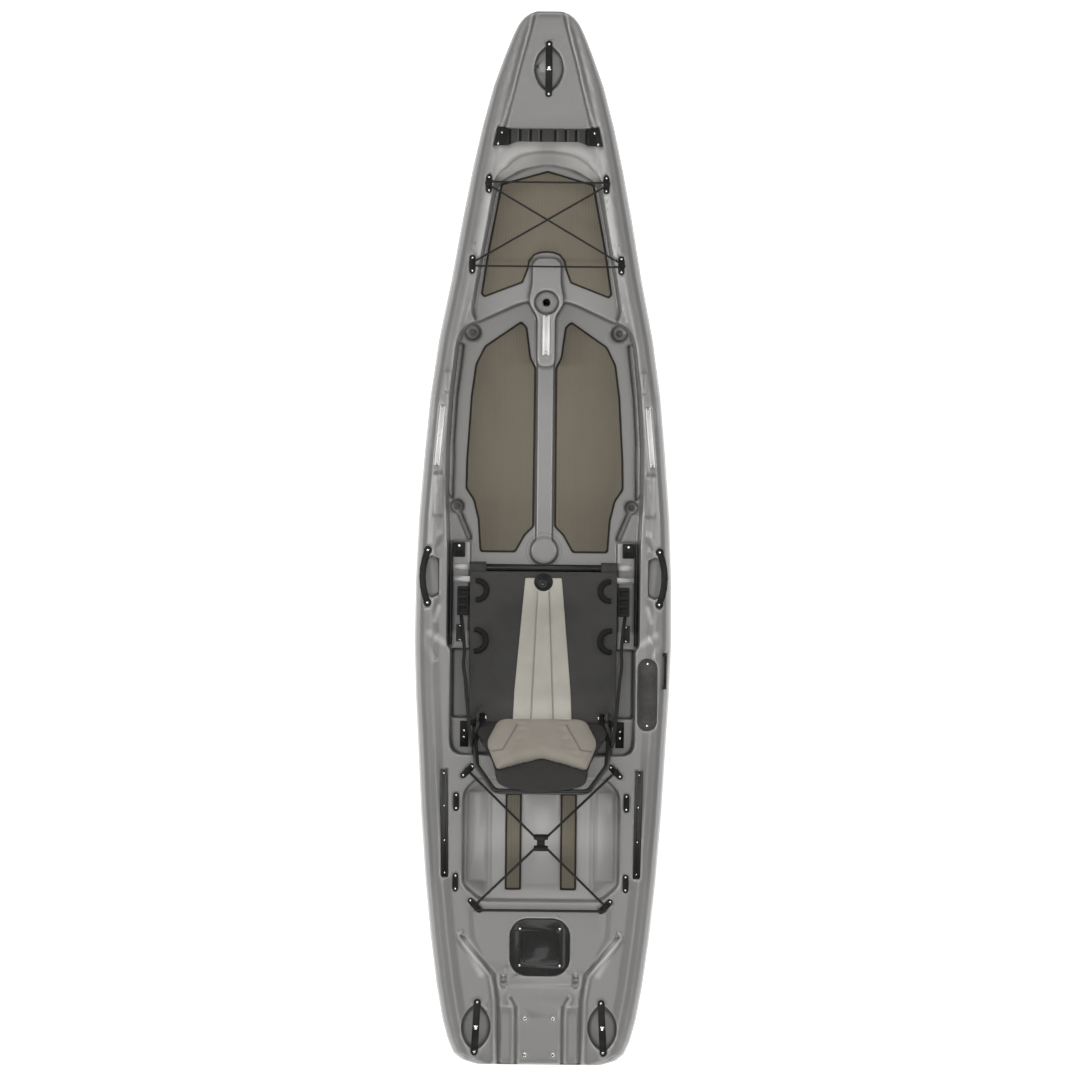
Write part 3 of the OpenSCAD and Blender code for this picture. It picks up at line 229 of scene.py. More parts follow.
def grey(level, warm=0.0):
    return (level * (1 + warm), level, level * (1 - 1.6 * warm))


# Painted highlights on the glossy bends of the deck: the lines on one side, the half width, the strength
HIGHLIGHT_LINES = [
    ([(0.203, 1.235), (0.216, 1.130), (0.236, 1.010)], 0.024, 0.60),
    ([(0.206, -1.545), (0.262, -1.438)], 0.020, 0.55),
    ([(0.352, -0.372), (0.398, -0.340)], 0.018, 0.55),
    ([(0.370, -0.245), (0.384, -0.295)], 0.012, 0.50),
    ([(0.060, 1.375), (0.118, 1.350), (0.158, 1.290)], 0.045, 0.30),
]


def painted_deck_light(paint, colour):
    """The painted highlights and painted shade of the moulded deck; all but the pod hole's painted shade stay
    above the bottom of the hull.
    """
    side = paint.x.size()
    above_keel = paint.z.ramp(0.105, 0.115)

    # Painted highlight: the deck is lighter along the glossy bends listed above
    shine = 0.0
    for line, half, strength in HIGHLIGHT_LINES:
        shine = (line_field(paint, side, line, half) * strength).highest(shine)
    colour = paint.blend(shine * paint.z.ramp(0.222, 0.236), colour, grey(0.62, 0.02))

    # Painted highlight: the front well's end wall is lighter, most of all towards its corners, and less on
    # the deck lip over it
    front_wall_highlight = (paint.y - 1.262).ramp(0.0, 0.025) * (1.400 - paint.y).ramp(0.0, 0.020)
    front_wall_highlight = front_wall_highlight * (0.205 - side).ramp(0.0, 0.03) * paint.z.ramp(0.220, 0.230)
    front_wall_highlight = front_wall_highlight * (1 - paint.z.ramp(0.325, 0.350) * 0.75)
    colour = paint.blend(front_wall_highlight * (side.ramp(0.02, 0.14) * 0.45 + 0.50), colour, grey(0.90, 0.02))

    # Painted shade: the ledges beside the seat and the cockpit walls over them are darker
    seat_ledge_shade = (side - 0.252).ramp(0.0, 0.006) * (0.345 - side).ramp(0.0, 0.008)
    seat_ledge_shade = seat_ledge_shade * (0.345 + paint.y).ramp(0.0, 0.02) * (-0.105 - paint.y).ramp(0.0, 0.03)
    seat_ledge_shade = seat_ledge_shade * (1 - paint.z.ramp(0.262, 0.272)) * above_keel
    colour = paint.blend(seat_ledge_shade * 0.72, colour, grey(0.050, 0.03))

    # Painted shade: thin dark lines stand for the moulded contour rings round the disc
    away = paint.plan_reach(0.0, DISC_Y)
    rings = [1 - (away - radius).size().ramp(0.0008, 0.0022) for radius in (0.051, 0.064)]
    ring = rings[0].highest(rings[1]) * 0.45 * (1 - paint.z.ramp(0.20, 0.21)) * above_keel
    colour = paint.blend(ring, colour, grey(0.10, 0.02))

    # Painted shade: inside the hatch neck, under its rim, the closed skin is near black, standing for the
    # dark hull inside
    outside_neck = side.ramp(0.060, 0.064).highest((paint.y - HATCH_Y).size().ramp(0.054, 0.058))
    outside_neck = outside_neck.highest(paint.z.ramp(0.304, 0.310)).highest(1 - paint.z.ramp(0.250, 0.260))
    colour = paint.blend(outside_neck, grey(0.004), colour)

    # Painted shade: the pod's hole is near black everywhere below its rim, including the hull's bottom under
    # it
    pod_hole = 1 - paint.plan_reach(0.0, POD_HOLE_Y).ramp(0.012, 0.016)
    return paint.blend(pod_hole * (1 - paint.z.ramp(0.226, 0.236)), colour, grey(0.006))


def moulded_hull():
    paint = Paint("moulded_hull", grey(0.245, 0.02), 0.36, coat_weight=0.45, coat_roughness=0.14)
    cloud = paint.noise(3.0, 3.0)
    fine = paint.noise(160.0, 2.0)
    speck = paint.noise(900.0, 1.0)
    scuff = paint.noise(60.0, 4.0, 0.7, paint.stretched(1.0, 0.06, 1.0))
    low = 1 - paint.z.ramp(0.01, 0.12)
    colour = paint.blend(cloud, grey(0.205, 0.022), grey(0.243, 0.018))
    colour = paint.blend((speck - 0.66) * 1.2, colour, grey(0.18, 0.02))
    worn = scuff.ramp(0.56, 0.72) * (low * 0.7 + 0.05)
    colour = paint.blend(worn, colour, grey(0.36, 0.02))

    # Painted light: the wells are a little lighter, to make up for their shade, the tank well most of all
    colour = paint.blend((1 - paint.z.ramp(0.215, 0.285)) * 0.45, colour, grey(0.34, 0.02))
    tank = (1 - paint.z.ramp(0.205, 0.235)) * paint.z.ramp(0.15, 0.17)
    tank = tank * (-0.80 - paint.y).ramp(0.0, 0.03) * (0.300 - paint.x.size()).ramp(0.0, 0.010)
    colour = paint.blend(tank * 0.90, colour, grey(0.46, 0.02))

    # Painted highlight and painted shade from the curvature: raised edges are lighter, and hollows darker
    bend = paint.node("ShaderNodeNewGeometry", {}, output="Pointiness")
    colour = paint.blend(bend.ramp(0.503, 0.540) * 0.60, colour, grey(0.52, 0.02))
    colour = paint.blend((0.5 - bend).ramp(0.003, 0.036) * 0.70, colour, grey(0.075, 0.02))
    paint.put("Base Color", painted_deck_light(paint, colour))
    paint.put("Roughness", fine * 0.08 + 0.26 + worn * 0.25 + cloud * 0.06)
    paint.relief(paint.noise(7.0, 1.0), 0.0030, 0.30)
    paint.relief(fine, 0.0002, 0.25)
    return paint.done()


def foam_pad(name, floor, pitch=0.0105):
    paint = Paint(name, (0.17, 0.155, 0.115), 0.85)
    top = (paint.z - (floor + PAD_STEP)).ramp(0.0, 0.0008)
    grain = paint.noise(700.0, 2.0)
    blotch = paint.noise(12.0, 2.0, 0.5, paint.stretched(1.0, 0.25, 1.0))
    groove = ((paint.x / pitch).fraction() - 0.5).size().ramp(0.40, 0.47)
    face = paint.blend(blotch * 0.7 + grain * 0.3, (0.196, 0.172, 0.130), (0.250, 0.222, 0.171))
    # Painted shade: the grooves of the top face are darker
    face = paint.blend(groove * 0.20, face, (0.085, 0.076, 0.054))
    # Painted shade: below its top face the pad's sides are near black
    paint.put("Base Color", paint.blend(top, (0.030, 0.026, 0.017), face))
    paint.relief(grain, 0.0004, 0.6)
    paint.relief(1 - groove * top, 0.0006, 0.8)
    return paint.done()


def black_nylon(name="black_nylon", level=0.012, roughness=0.42):
    paint = Paint(name, grey(level, 0.03), roughness, specular_ior_level=0.22)
    grain = paint.noise(1400.0, 2.0)
    wear = paint.noise(40.0, 4.0)
    paint.put("Base Color", paint.blend(wear, grey(level * 0.75, 0.03), grey(level * 1.5, 0.03)))
    paint.put("Roughness", grain * 0.12 + (roughness - 0.06))
    paint.relief(grain, 0.00015, 0.5)
    return paint.done()


def ringed_nylon():
    """The plate at the front of the sling: black, with a lighter ring and a grey stud."""
    paint = Paint("ringed_nylon", grey(0.012, 0.03), 0.40, specular_ior_level=0.25)
    grain = paint.noise(1400.0, 2.0)
    reach = paint.plan_reach(*RING_PLATE_PLACE)
    stud = 1 - reach.ramp(0.0055, 0.0065)
    ring = 1 - (reach - 0.0125).size().ramp(0.0010, 0.0022)
    paint.put("Base Color", paint.blend(stud.highest(ring * 0.5), grey(0.010, 0.03), grey(0.17, 0.02)))
    paint.put("Roughness", grain * 0.12 + 0.34)
    paint.relief(stud.highest(ring), 0.0015, 0.8)
    return paint.done()


def ribbed_nylon():
    """Dark nylon of the cross bar, with painted shade in the grooves between its ribs and a painted highlight
    along each rib.
    """
    paint = Paint("ribbed_nylon", grey(0.050, 0.03), 0.44, specular_ior_level=0.25)
    grain = paint.noise(1200.0, 2.0)
    rib = ((paint.x.size() - 0.0075) / 0.0367).fraction()
    # Painted shade: the grooves are near black
    groove = 1 - (rib - 0.5).size().ramp(0.05, 0.13)
    # Painted highlight: a lighter band along each rib
    light = (rib - 0.68).size().ramp(0.03, 0.12)
    colour = paint.blend(1 - light, grey(0.048, 0.03), grey(0.095, 0.03))
    paint.put("Base Color", paint.blend(groove, colour, grey(0.006, 0.03)))
    paint.put("Roughness", grain * 0.12 + 0.38)
    paint.relief(1 - groove, 0.0040, 0.9)
    return paint.done()


def glossy_cover():
    paint = Paint("glossy_cover", grey(0.020, 0.02), 0.12, coat_weight=0.25, coat_roughness=0.05,
                  specular_ior_level=0.25)
    smudge = paint.noise(14.0, 3.0)
    ripple = paint.noise(45.0, 1.0)
    paint.put("Base Color", paint.blend(smudge, grey(0.016, 0.02), grey(0.030, 0.02)))
    paint.put("Roughness", smudge.ramp(0.45, 0.75) * 0.10 + 0.24)
    paint.relief(ripple, 0.0004, 0.15)
    return paint.done()


def anodised(name="anodised", level=0.62, streak_along="y"):
    paint = Paint(name, grey(level, 0.01), 0.34, metallic=0.20 if level > 0.5 else 0.8)
    stretch = (900.0, 20.0, 900.0) if streak_along == "y" else (20.0, 900.0, 900.0)
    streak = paint.noise(1.0, 2.0, 0.6, paint.stretched(*stretch))
    paint.put("Base Color", paint.blend(streak, grey(level * 0.9, 0.01), grey(level * 1.08, 0.01)))
    paint.put("Roughness", streak * 0.16 + 0.26)
    return paint.done()


def bright_steel():
    paint = Paint("bright_steel", (0.80, 0.79, 0.77), 0.20, metallic=1.0)
    mark = paint.noise(500.0, 3.0)
    paint.put("Base Color", paint.blend(mark, (0.72, 0.71, 0.69), (0.86, 0.85, 0.83)))
    paint.put("Roughness", mark * 0.14 + 0.14)
    return paint.done()


def coated_tube():
    paint = Paint("coated_tube", grey(0.010, 0.02), 0.30)
    peel = paint.noise(700.0, 2.0)
    wear = paint.noise(30.0, 5.0, 0.7)
    paint.put("Base Color", paint.blend(wear.ramp(0.62, 0.80), grey(0.009, 0.02), grey(0.030, 0.02)))
    paint.put("Roughness", peel * 0.14 + 0.24)
    paint.relief(peel, 0.0001, 0.5)
    return paint.done()


def woven(name, warp, weft, pitch=0.0016, roughness=0.82, sheen=0.0, blotch=0.25):
    """A plain weave on Object coordinates, seen from above."""
    paint = Paint(name, warp, roughness, sheen_weight=sheen)
    across = ((paint.x / pitch) * math.pi).sine()
    along = ((paint.y / pitch) * math.pi).sine()
    thread = across * along * 0.5 + 0.5
    cloud = paint.noise(18.0, 3.0)
    fuzz = paint.noise(2200.0, 2.0)
    colour = paint.blend(thread * 0.6 + fuzz * 0.3, warp, weft)
    dark = tuple(c * 0.8 for c in warp)
    paint.put("Base Color", paint.blend(cloud.ramp(0.35, 0.7) * blotch, colour, dark))
    paint.relief(thread, 0.0003, 0.7)
    return paint, paint.done()


def line_field(paint, x, points, half):
    """1 on a line through the plan points of one side, 0 at the distance half from it."""
    field = None
    for (ax, ay), (bx, by) in zip(points, points[1:]):
        ux, uy = bx - ax, by - ay
        square = ux * ux + uy * uy
        t = (((x - ax) * ux + (paint.y - ay) * uy) / square).highest(0.0).lowest(1.0)
        dx, dy = x - (t * ux + ax), paint.y - (t * uy + ay)
        near = 1 - ((dx * dx + dy * dy).power(0.5) / half).lowest(1.0)
        field = near if field is None else field.highest(near)
    return field


def seamed(name, warp, weft, lines, half=0.0045, **more):
    """A woven cloth with sewn channels along lines that run down both sides."""
    paint = woven(name, warp, weft, **more)[0]
    channel = line_field(paint, paint.x.size(), lines, half)
    stitch = ((paint.x + paint.y) / 0.0042).fraction().ramp(0.35, 0.45) * channel.ramp(0.70, 0.80)
    was = paint.shader.inputs["Base Color"].links[0].from_socket
    # Painted shade: the sewn channels are darker
    dark = tuple(c * 0.42 for c in warp)
    colour = paint.blend(channel * 0.75, Value(paint, was), dark)
    paint.put("Base Color", paint.blend(stitch * 0.35, colour, tuple(min(1.0, c * 1.2) for c in weft)))
    paint.relief(1 - channel, 0.0030, 0.9)
    return paint.done()


def braided_cord():
    paint = Paint("braided_cord", grey(0.012, 0.02), 0.75)
    pitch = 0.0035
    diagonal = ((paint.x + paint.y) / pitch * math.pi).sine()
    other = ((paint.x - paint.y) / pitch * math.pi).sine()
    braid = (diagonal * other * 0.5 + 0.5).power(0.6)
    fleck = paint.noise(900.0, 1.0).ramp(0.60, 0.75)
    colour = paint.blend(braid, grey(0.004, 0.02), grey(0.022, 0.02))
    paint.put("Base Color", paint.blend(fleck * 0.35, colour, grey(0.07, 0.02)))
    paint.relief(braid, 0.0004, 0.8)
    return paint.done()


def rubber_seal():
    paint = Paint("rubber_seal", grey(0.010), 0.7)
    grain = paint.noise(800.0, 2.0)
    paint.put("Roughness", grain * 0.2 + 0.6)
    paint.relief(grain, 0.0002, 0.5)
    return paint.done()


HULL = moulded_hull()
NYLON = black_nylon()
GREY_NYLON = black_nylon("grey_nylon", 0.042, 0.46)
LINER = black_nylon("pocket_grey", 0.075, 0.40)
COVER = glossy_cover()
BAR = ribbed_nylon()
RING_PLATE = ringed_nylon()
LOOP = black_nylon("loop_nylon", 0.006, 0.55)
ALUMINIUM = anodised(level=0.86)
ARM_METAL = anodised("brushed_arm", 0.36, "x")
STEEL = bright_steel()
TUBE = coated_tube()
CORD = braided_cord()
SEAL = rubber_seal()
WEBBING = woven("webbing", grey(0.008, 0.03), grey(0.020, 0.03), 0.0022, 0.7)[1]
MESH = woven("sling_mesh", grey(0.030, 0.03), grey(0.075, 0.04), 0.0018, 0.72)[1]
PANEL = seamed("panel_cloth", (0.46, 0.44, 0.385), (0.64, 0.62, 0.55),
               [(0.021, -0.190), (0.040, -0.650)], 0.0035, pitch=0.0015, roughness=0.85)
BACK_CLOTH = seamed("back_cloth", (0.335, 0.305, 0.258), (0.48, 0.442, 0.380),
                    [(0.087, -0.660), (0.118, -0.712), (0.137, -0.745), (0.176, -0.752)],
                    pitch=0.0015, roughness=0.85)
BACK_TOP = woven("back_top_cloth", grey(0.028, 0.03), grey(0.060, 0.04), 0.0018, 0.72)[1]


# The hull: the moulded skin with its soft radii

def smoothstep(t):
    t = np.clip(t, 0.0, 1.0)
    return t * t * (3 - 2 * t)


def outer_skin(obj):
    """Leaves the outside of the hull, closed where the hatch neck and the drain go in."""
    mesh = bmesh.new()
    mesh.from_mesh(obj.data)
    doomed = []
    for face in mesh.faces:
        c = face.calc_center_median()
        in_neck = abs(c.x) < 0.062 and abs(c.y - HATCH_Y) < 0.056 and 0.270 < c.z < NECK_TOP
        in_drain = math.hypot(c.x, c.z - DRAIN_Z) < 0.012 and c.y < STERN_Y
        if (in_neck and abs(face.normal.z) < 0.5) or (in_drain and abs(face.normal.y) < 0.5):
            doomed.append(face)
    bmesh.ops.delete(mesh, geom=doomed, context="FACES")
    mesh.verts.ensure_lookup_table()
    start = max(mesh.verts, key=lambda v: v.co.z)
    keep = {start}
    reach = [start]
    while reach:
        for edge in reach.pop().link_edges:
            for v in edge.verts:
                if v not in keep:
                    keep.add(v)
                    reach.append(v)
    bmesh.ops.delete(mesh, geom=[v for v in mesh.verts if v not in keep], context="VERTS")
    edges = [e for e in mesh.edges if e.is_boundary]
    bmesh.ops.holes_fill(mesh, edges=edges, sides=0)
    bmesh.ops.triangulate(mesh, faces=mesh.faces[:])
    mesh.to_mesh(obj.data)
    mesh.free()


def path_distance(place, path):
    """How far each plan point is from a line through the points of path."""
    best = np.full(len(place), 9.0)
    for a, b in zip(path, path[1:]):
        a = np.array(a)
        step = np.array(b) - a
        t = np.clip(((place - a) @ step) / (step @ step), 0, 1)
        best = np.minimum(best, np.linalg.norm(place - a - t[:, None] * step, axis=1))
    return best


def inside_box(place, low, high, soft):
    """1 inside a plan box, falling to 0 over the distance soft outside it."""
    over = np.maximum(np.array(low) - place, place - np.array(high))
    return 1 - smoothstep(np.maximum(over.max(axis=1), 0) / soft)


# Soft creases of the deck: a path on one side, its half width, its depth, and the rise beside it
CREASES = [
    ([(0.053, 1.844), (0.097, 1.685), (0.150, 1.468), (0.158, 1.440)], 0.0048, 0.0058, 0.0040),
    ([(0.275, -1.413), (0.254, -1.441), (0.161, -1.548), (0.146, -1.640), (0.144, -1.862)],
     0.0058, 0.0070, 0.0045),
    ([(0.100, -1.632), (0.084, -1.662), (0.081, -1.700), (0.081, -1.862)], 0.0052, 0.0048, 0.0020),
    ([(0.360, -0.010), (0.384, -0.040), (0.366, -0.215), (0.384, -0.262), (0.372, -0.330),
      (0.398, -0.372), (0.380, -0.425)], 0.009, 0.0016, 0.0012),
]
# Shallow dishes of the deck, which join to a long recess on each side: place, radius, depth
DISHES = [((0.128, -1.552), 0.007, 0.0050), ((0.128, -1.566), 0.009, 0.0060),
          ((0.128, -1.582), 0.009, 0.0050)]
# Raised panels of the tank well floor: box on one side, rise
PANELS = [((0.199, -1.215), (0.256, -0.905), 0.0040), ((0.0, -1.228), (0.058, -0.905), 0.0035)]
# Flat pads moulded on the gunwale for fittings, in the same way
GUNWALE_PADS = [((0.362, 0.085), (0.390, 0.222), 0.0028), ((0.338, 0.520), (0.356, 0.585), 0.0024)]
# Height over which the deck begins, and the length of the rows that the beam is read from
DECK_Z = 0.27
ROW = 0.02


def shape_deck(obj):
    """The moulded forms of the deck that are softer than the solid's edges."""
    co = points_of(obj)
    up = np.empty(len(co) * 3, np.float32)
    obj.data.vertices.foreach_get("normal", up)
    up = up.reshape(-1, 3)[:, 2]
    place = np.column_stack([np.abs(co[:, 0]), co[:, 1]])
    rows = np.round(co[:, 1] / ROW).astype(int)
    first = rows.min()
    beam = np.zeros(rows.max() - first + 1)
    np.maximum.at(beam, rows - first, np.abs(co[:, 0]))
    beam[1:-1] = (beam[:-2] + 2 * beam[1:-1] + beam[2:]) / 4
    beam = np.interp(co[:, 1], (np.arange(len(beam)) + first) * ROW, beam)
    rise = np.zeros(len(co))
    on_deck = smoothstep((up - 0.25) / 0.4) * (co[:, 2] > DECK_Z)
    for path, half, depth, beside in CREASES:
        d = path_distance(place, path)
        rise -= on_deck * depth * np.exp(-(d / half) ** 2)
        line = np.array(sorted(path, key=lambda point: point[1]))
        outer = smoothstep((place[:, 0] - np.interp(co[:, 1], line[:, 1], line[:, 0])) / half + 0.3)
        rise += on_deck * outer * beside * np.exp(-((d - 2.3 * half) / (1.4 * half)) ** 2)
    channel = inside_box(place, (0.086, -1.90), (0.139, -1.665), 0.012)
    rise -= on_deck * channel * 0.008 * smoothstep((-1.640 - co[:, 1]) / 0.05)
    for (x, y), radius, depth in DISHES:
        d = np.hypot(place[:, 0] - x, place[:, 1] - y)
        rise -= on_deck * depth * (1 - smoothstep((d - radius) / 0.009))
    floor = smoothstep((up - 0.6) / 0.3) * (np.abs(co[:, 2] - TANK_FLOOR) < 0.006)
    for low, high, height in PANELS:
        rise += floor * height * inside_box(place, low, high, 0.006)
    for low, high, height in GUNWALE_PADS:
        rise += on_deck * height * inside_box(place, low, high, 0.005)
    edge = beam - place[:, 0]
    stern = smoothstep((-1.10 - co[:, 1]) / 0.20)
    rise += on_deck * stern * 0.0020 * np.exp(-((edge - 0.032) / 0.006) ** 2)
    rise -= on_deck * stern * 0.0008 * np.exp(-((edge - 0.047) / 0.008) ** 2)
    co[:, 2] += rise
    set_points(obj, co)


def round_over(obj, low, high, steps):
    """Smooths the part of a skin inside a box, so that its rim rolls over softly."""
    co = points_of(obj)
    inside = np.minimum(co - np.array(low), np.array(high) - co).min(axis=1)
    weight = smoothstep(inside / 0.03)
    group = obj.vertex_groups.new(name="soft_rim")
    for index in np.nonzero(weight > 0)[0]:
        group.add([int(index)], float(weight[index]), "REPLACE")
    apply_modifier(obj, "SMOOTH", factor=0.5, iterations=steps, vertex_group="soft_rim")
    obj.vertex_groups.clear()


def make_hull(most_triangles=190000):
    obj = copy_of("hull", "hull_shell")
    outer_skin(obj)
    obj.data.remesh_voxel_size = 0.0045
    make_active(obj)
    bpy.ops.object.voxel_remesh()
    apply_modifier(obj, "CORRECTIVE_SMOOTH", factor=0.5, iterations=5, use_only_smooth=True)
    round_over(obj, (-0.20, 1.29, 0.23), (0.20, 1.450, 0.42), 40)
    shape_deck(obj)
    apply_modifier(obj, "DECIMATE", ratio=min(1.0, most_triangles / (2 * len(obj.data.polygons))))
    make_active(obj)
    bpy.ops.object.shade_smooth()
    return finish_piece(obj, HULL, "hull", "hull", "hull")


make_hull()


# Hard fittings: the CAD shape with its edges broken

def round_corners(obj, radius):
    """Rounds the corners of a flat pad in plan."""
    mesh = bmesh.new()
    mesh.from_mesh(obj.data)
    bmesh.ops.dissolve_limit(mesh, angle_limit=math.radians(1.0), verts=mesh.verts[:],
                             edges=mesh.edges[:])
    corners = []
    for edge in mesh.edges:
        way = edge.verts[0].co - edge.verts[1].co
        if abs(way.z) > 0.002 and math.hypot(way.x, way.y) < 0.0005 and len(edge.link_faces) == 2:
            if edge.calc_face_angle() > math.radians(14):
                corners.append(edge)
    bmesh.ops.bevel(mesh, geom=corners, offset=radius, segments=5, affect="EDGES", clamp_overlap=True,
                    profile=0.5)
    mesh.to_mesh(obj.data)
    mesh.free()


# Slim pieces that are drawn a little wider than in the CAD, and by how much on each side
FULLER = {
    "side_handles": 0.0030, "seat_loops": 0.0060, "front_pad_eyes": 0.0028, "corner_pad_eyes": 0.0020,
    "rear_pad_eyes": 0.0015, "rear_bungee": 0.0014, "front_bungee": 0.0004,
}


def fuller(obj, amount):
    """Pushes a slim piece outwards in plan."""
    co = points_of(obj)
    normals = np.empty(len(co) * 3, np.float32)
    obj.data.vertices.foreach_get("normal", normals)
    co[:, :2] += normals.reshape(-1, 3)[:, :2] * amount
    set_points(obj, co)


def softened(node, body, material, slot, width=0.0008, segments=2, corner=0.0):
    """A CAD piece with its edges broken; corner is the radius of a flat pad's corners in plan."""
    obj = copy_of(node, node + "_piece")
    if node in FULLER:
        fuller(obj, FULLER[node])
    if corner:
        round_corners(obj, corner)
    make_active(obj)
    bpy.ops.object.mode_set(mode="EDIT")
    bpy.ops.mesh.select_all(action="SELECT")
    bpy.ops.mesh.dissolve_limited(angle_limit=math.radians(1.0))
    bpy.ops.object.mode_set(mode="OBJECT")
    apply_modifier(obj, "BEVEL", width=width, segments=segments, limit_method="ANGLE",
                   angle_limit=math.radians(38), use_clamp_overlap=True)
    smooth_shade(obj, 40)
    return finish_piece(obj, material, body, slot, node)


# The fittings of each body: node, material, slot and width of the broken edge
FITTINGS = {
    "hull": [
        ("centre_track", ALUMINIUM, "aluminium", 0.0005), ("gunwale_tracks", ALUMINIUM, "aluminium", 0.0005),
        ("rear_tracks", TUBE, "black_metal", 0.0005), ("track_screws", STEEL, "steel", 0.0003),
        ("bow_handle", NYLON, "black_plastic", 0.0015), ("stern_handles", NYLON, "black_plastic", 0.0015),
        ("side_handles", NYLON, "black_plastic", 0.0015), ("handle_bolts", STEEL, "steel", 0.0006),
        ("cross_bar", BAR, "grey_plastic", 0.0012),
        ("cross_bar_brackets", NYLON, "black_plastic", 0.0015), ("cross_bar_screws", STEEL, "steel", 0.0006),
        ("front_pad_eyes", NYLON, "black_plastic", 0.0010), ("rear_pad_eyes", NYLON, "black_plastic", 0.0010),
        ("corner_pad_eyes", NYLON, "black_plastic", 0.0010), ("pad_eye_rivets", STEEL, "steel", 0.0004),
        ("bungee_hook", NYLON, "black_plastic", 0.0012), ("hatch_gasket", SEAL, "gasket", 0.0008),
        ("pocket_liner", LINER, "grey_plastic", 0.0012), ("pocket_screws", STEEL, "steel", 0.0004),
        ("paddle_keeper", NYLON, "black_plastic", 0.0012), ("stern_inserts", STEEL, "steel", 0.0006),
        ("drain_seat", NYLON, "black_plastic", 0.0008), ("seat_keepers", NYLON, "black_plastic", 0.0012),
        ("side_latches", GREY_NYLON, "grey_plastic", 0.0010), ("ledge_screws", STEEL, "steel", 0.0004),
    ],
    "hatch": [("hatch_cover", COVER, "gloss_black", 0.0025), ("hatch_screws", STEEL, "steel", 0.0005)],
    "plug": [("drain_plug", NYLON, "black_plastic", 0.0008)],
    "seat": [
        ("seat_frame", TUBE, "black_metal", 0.0010), ("front_tube", TUBE, "black_metal", 0.0010),
        ("seat_clamps", GREY_NYLON, "grey_plastic", 0.0015), ("seat_arms", ARM_METAL, "aluminium", 0.0010),
        ("seat_feet", NYLON, "black_plastic", 0.0012), ("foot_rivets", STEEL, "steel", 0.0004),
        ("sling_plate", RING_PLATE, "black_plastic", 0.0015),
        ("seat_buckles", NYLON, "black_plastic", 0.0015),
        ("seat_loops", LOOP, "webbing", 0.0003), ("hinge_plates", TUBE, "black_metal", 0.0010),
        ("hinge_pins", STEEL, "steel", 0.0006),
    ],
    "backrest": [("back_frame", TUBE, "black_metal", 0.0003)],
}

for body, fittings in FITTINGS.items():
    for node, material, slot, width in fittings:
        softened(node, body, material, slot, width)

for node, floor in (("front_pad", FRONT_FLOOR), ("foot_pad_left", COCKPIT_FLOOR),
                    ("foot_pad_right", COCKPIT_FLOOR), ("tank_pads", TANK_FLOOR)):
    softened(node, "hull", foam_pad(node + "_foam", floor), "eva_pad", 0.0008,
             corner=0.005 if node == "tank_pads" else 0.016)


def dome_bolt(name, places, radius=0.0075):
    """Screws with a domed head and a square-edged socket, at the places given."""
    made = []
    for x, y, z in places:
        deselect()
        bpy.ops.mesh.primitive_cylinder_add(vertices=32, radius=radius, depth=0.003,
                                            location=(x, y, z + 0.0010))
        head = bpy.context.object
        mesh = bmesh.new()
        mesh.from_mesh(head.data)
        top = [f for f in mesh.faces if f.normal.z > 0.9]
        bmesh.ops.inset_individual(mesh, faces=top, thickness=radius * 0.45, depth=0.0014)
        top = [f for f in mesh.faces if f.normal.z > 0.9 and f.calc_area() > radius * radius * 0.5]
        bmesh.ops.inset_individual(mesh, faces=top[:1], thickness=radius * 0.12, depth=-0.0016)
        mesh.to_mesh(head.data)
        mesh.free()
        made.append(head)
    deselect()
    for head in made:
        head.select_set(True)
    bpy.context.view_layer.objects.active = made[0]
    bpy.ops.object.join()
    bolt = bpy.context.object
    bolt.name = name
    bpy.ops.object.transform_apply(location=True, rotation=True, scale=True)
    smooth_shade(bolt, 40)
    return finish_piece(bolt, STEEL, "hull", "steel")


def strap_middle(node):
    """Middle of the top of each carry strap of a node, from its own mesh."""
    co = points_of(NODES[node])
    places = []
    for side in ((-1, 1) if np.abs(co[:, 0]).max() > 0.1 else (0,)):
        own = co[co[:, 0] * side >= 0] if side else co
        middle = (own.min(axis=0) + own.max(axis=0)) / 2
        near = own[np.abs(own[:, 1] - middle[1]) < 0.03]
        top = (near if len(near) else own)[:, 2].max()
        places.append((middle[0], middle[1], top))
    return places


dome_bolt("handle_middle_bolts", strap_middle("bow_handle") + strap_middle("stern_handles"))
softened("front_bungee", "hull", CORD, "bungee", 0.0001)
softened("rear_bungee", "hull", CORD, "bungee", 0.0001)


# Seat cloth

def subdivided(node, body, material, slot, levels=2):
    """A CAD cloth with its faces rounded by subdivision."""
    obj = copy_of(node, node + "_cloth")
    apply_modifier(obj, "SUBSURF", levels=levels, render_levels=levels)
    smooth_shade(obj, 60)
    return finish_piece(obj, material, body, slot, node)


def reach_back(obj, start, end, drop):
    """Draws the rear rows of a seat cloth on to the foot of the backrest, over the rear tube."""
    co = points_of(obj)
    rear = co[:, 1].min()
    share = np.clip((start - co[:, 1]) / (start - rear), 0, 1)
    co[:, 1] -= share * (rear - end)
    co[:, 2] -= drop * share * share
    set_points(obj, co)


def wrinkle(obj, strength, seed):
    """Shallow pulls in a stretched cloth, that fan from its corners."""
    co = points_of(obj)
    x, y = co[:, 0], co[:, 1]
    side = np.abs(x)
    fan = np.arctan2(y + 0.66, 0.28 - side)
    near = np.exp(-(np.hypot(side - 0.28, y + 0.66) / 0.17) ** 2)
    front = np.arctan2(-0.10 - y, 0.28 - side)
    ahead = np.exp(-(np.hypot(side - 0.28, y + 0.10) / 0.12) ** 2)
    pull = near * np.sin(fan * 15 + seed) + 0.7 * ahead * np.sin(front * 13 + 1.7 * seed)
    slack = 0.35 * np.sin(x * 46 + np.sin(y * 21 + seed)) * np.exp(-((side - 0.17) / 0.05) ** 2)
    co[:, 2] += strength * (pull + slack)
    set_points(obj, co)


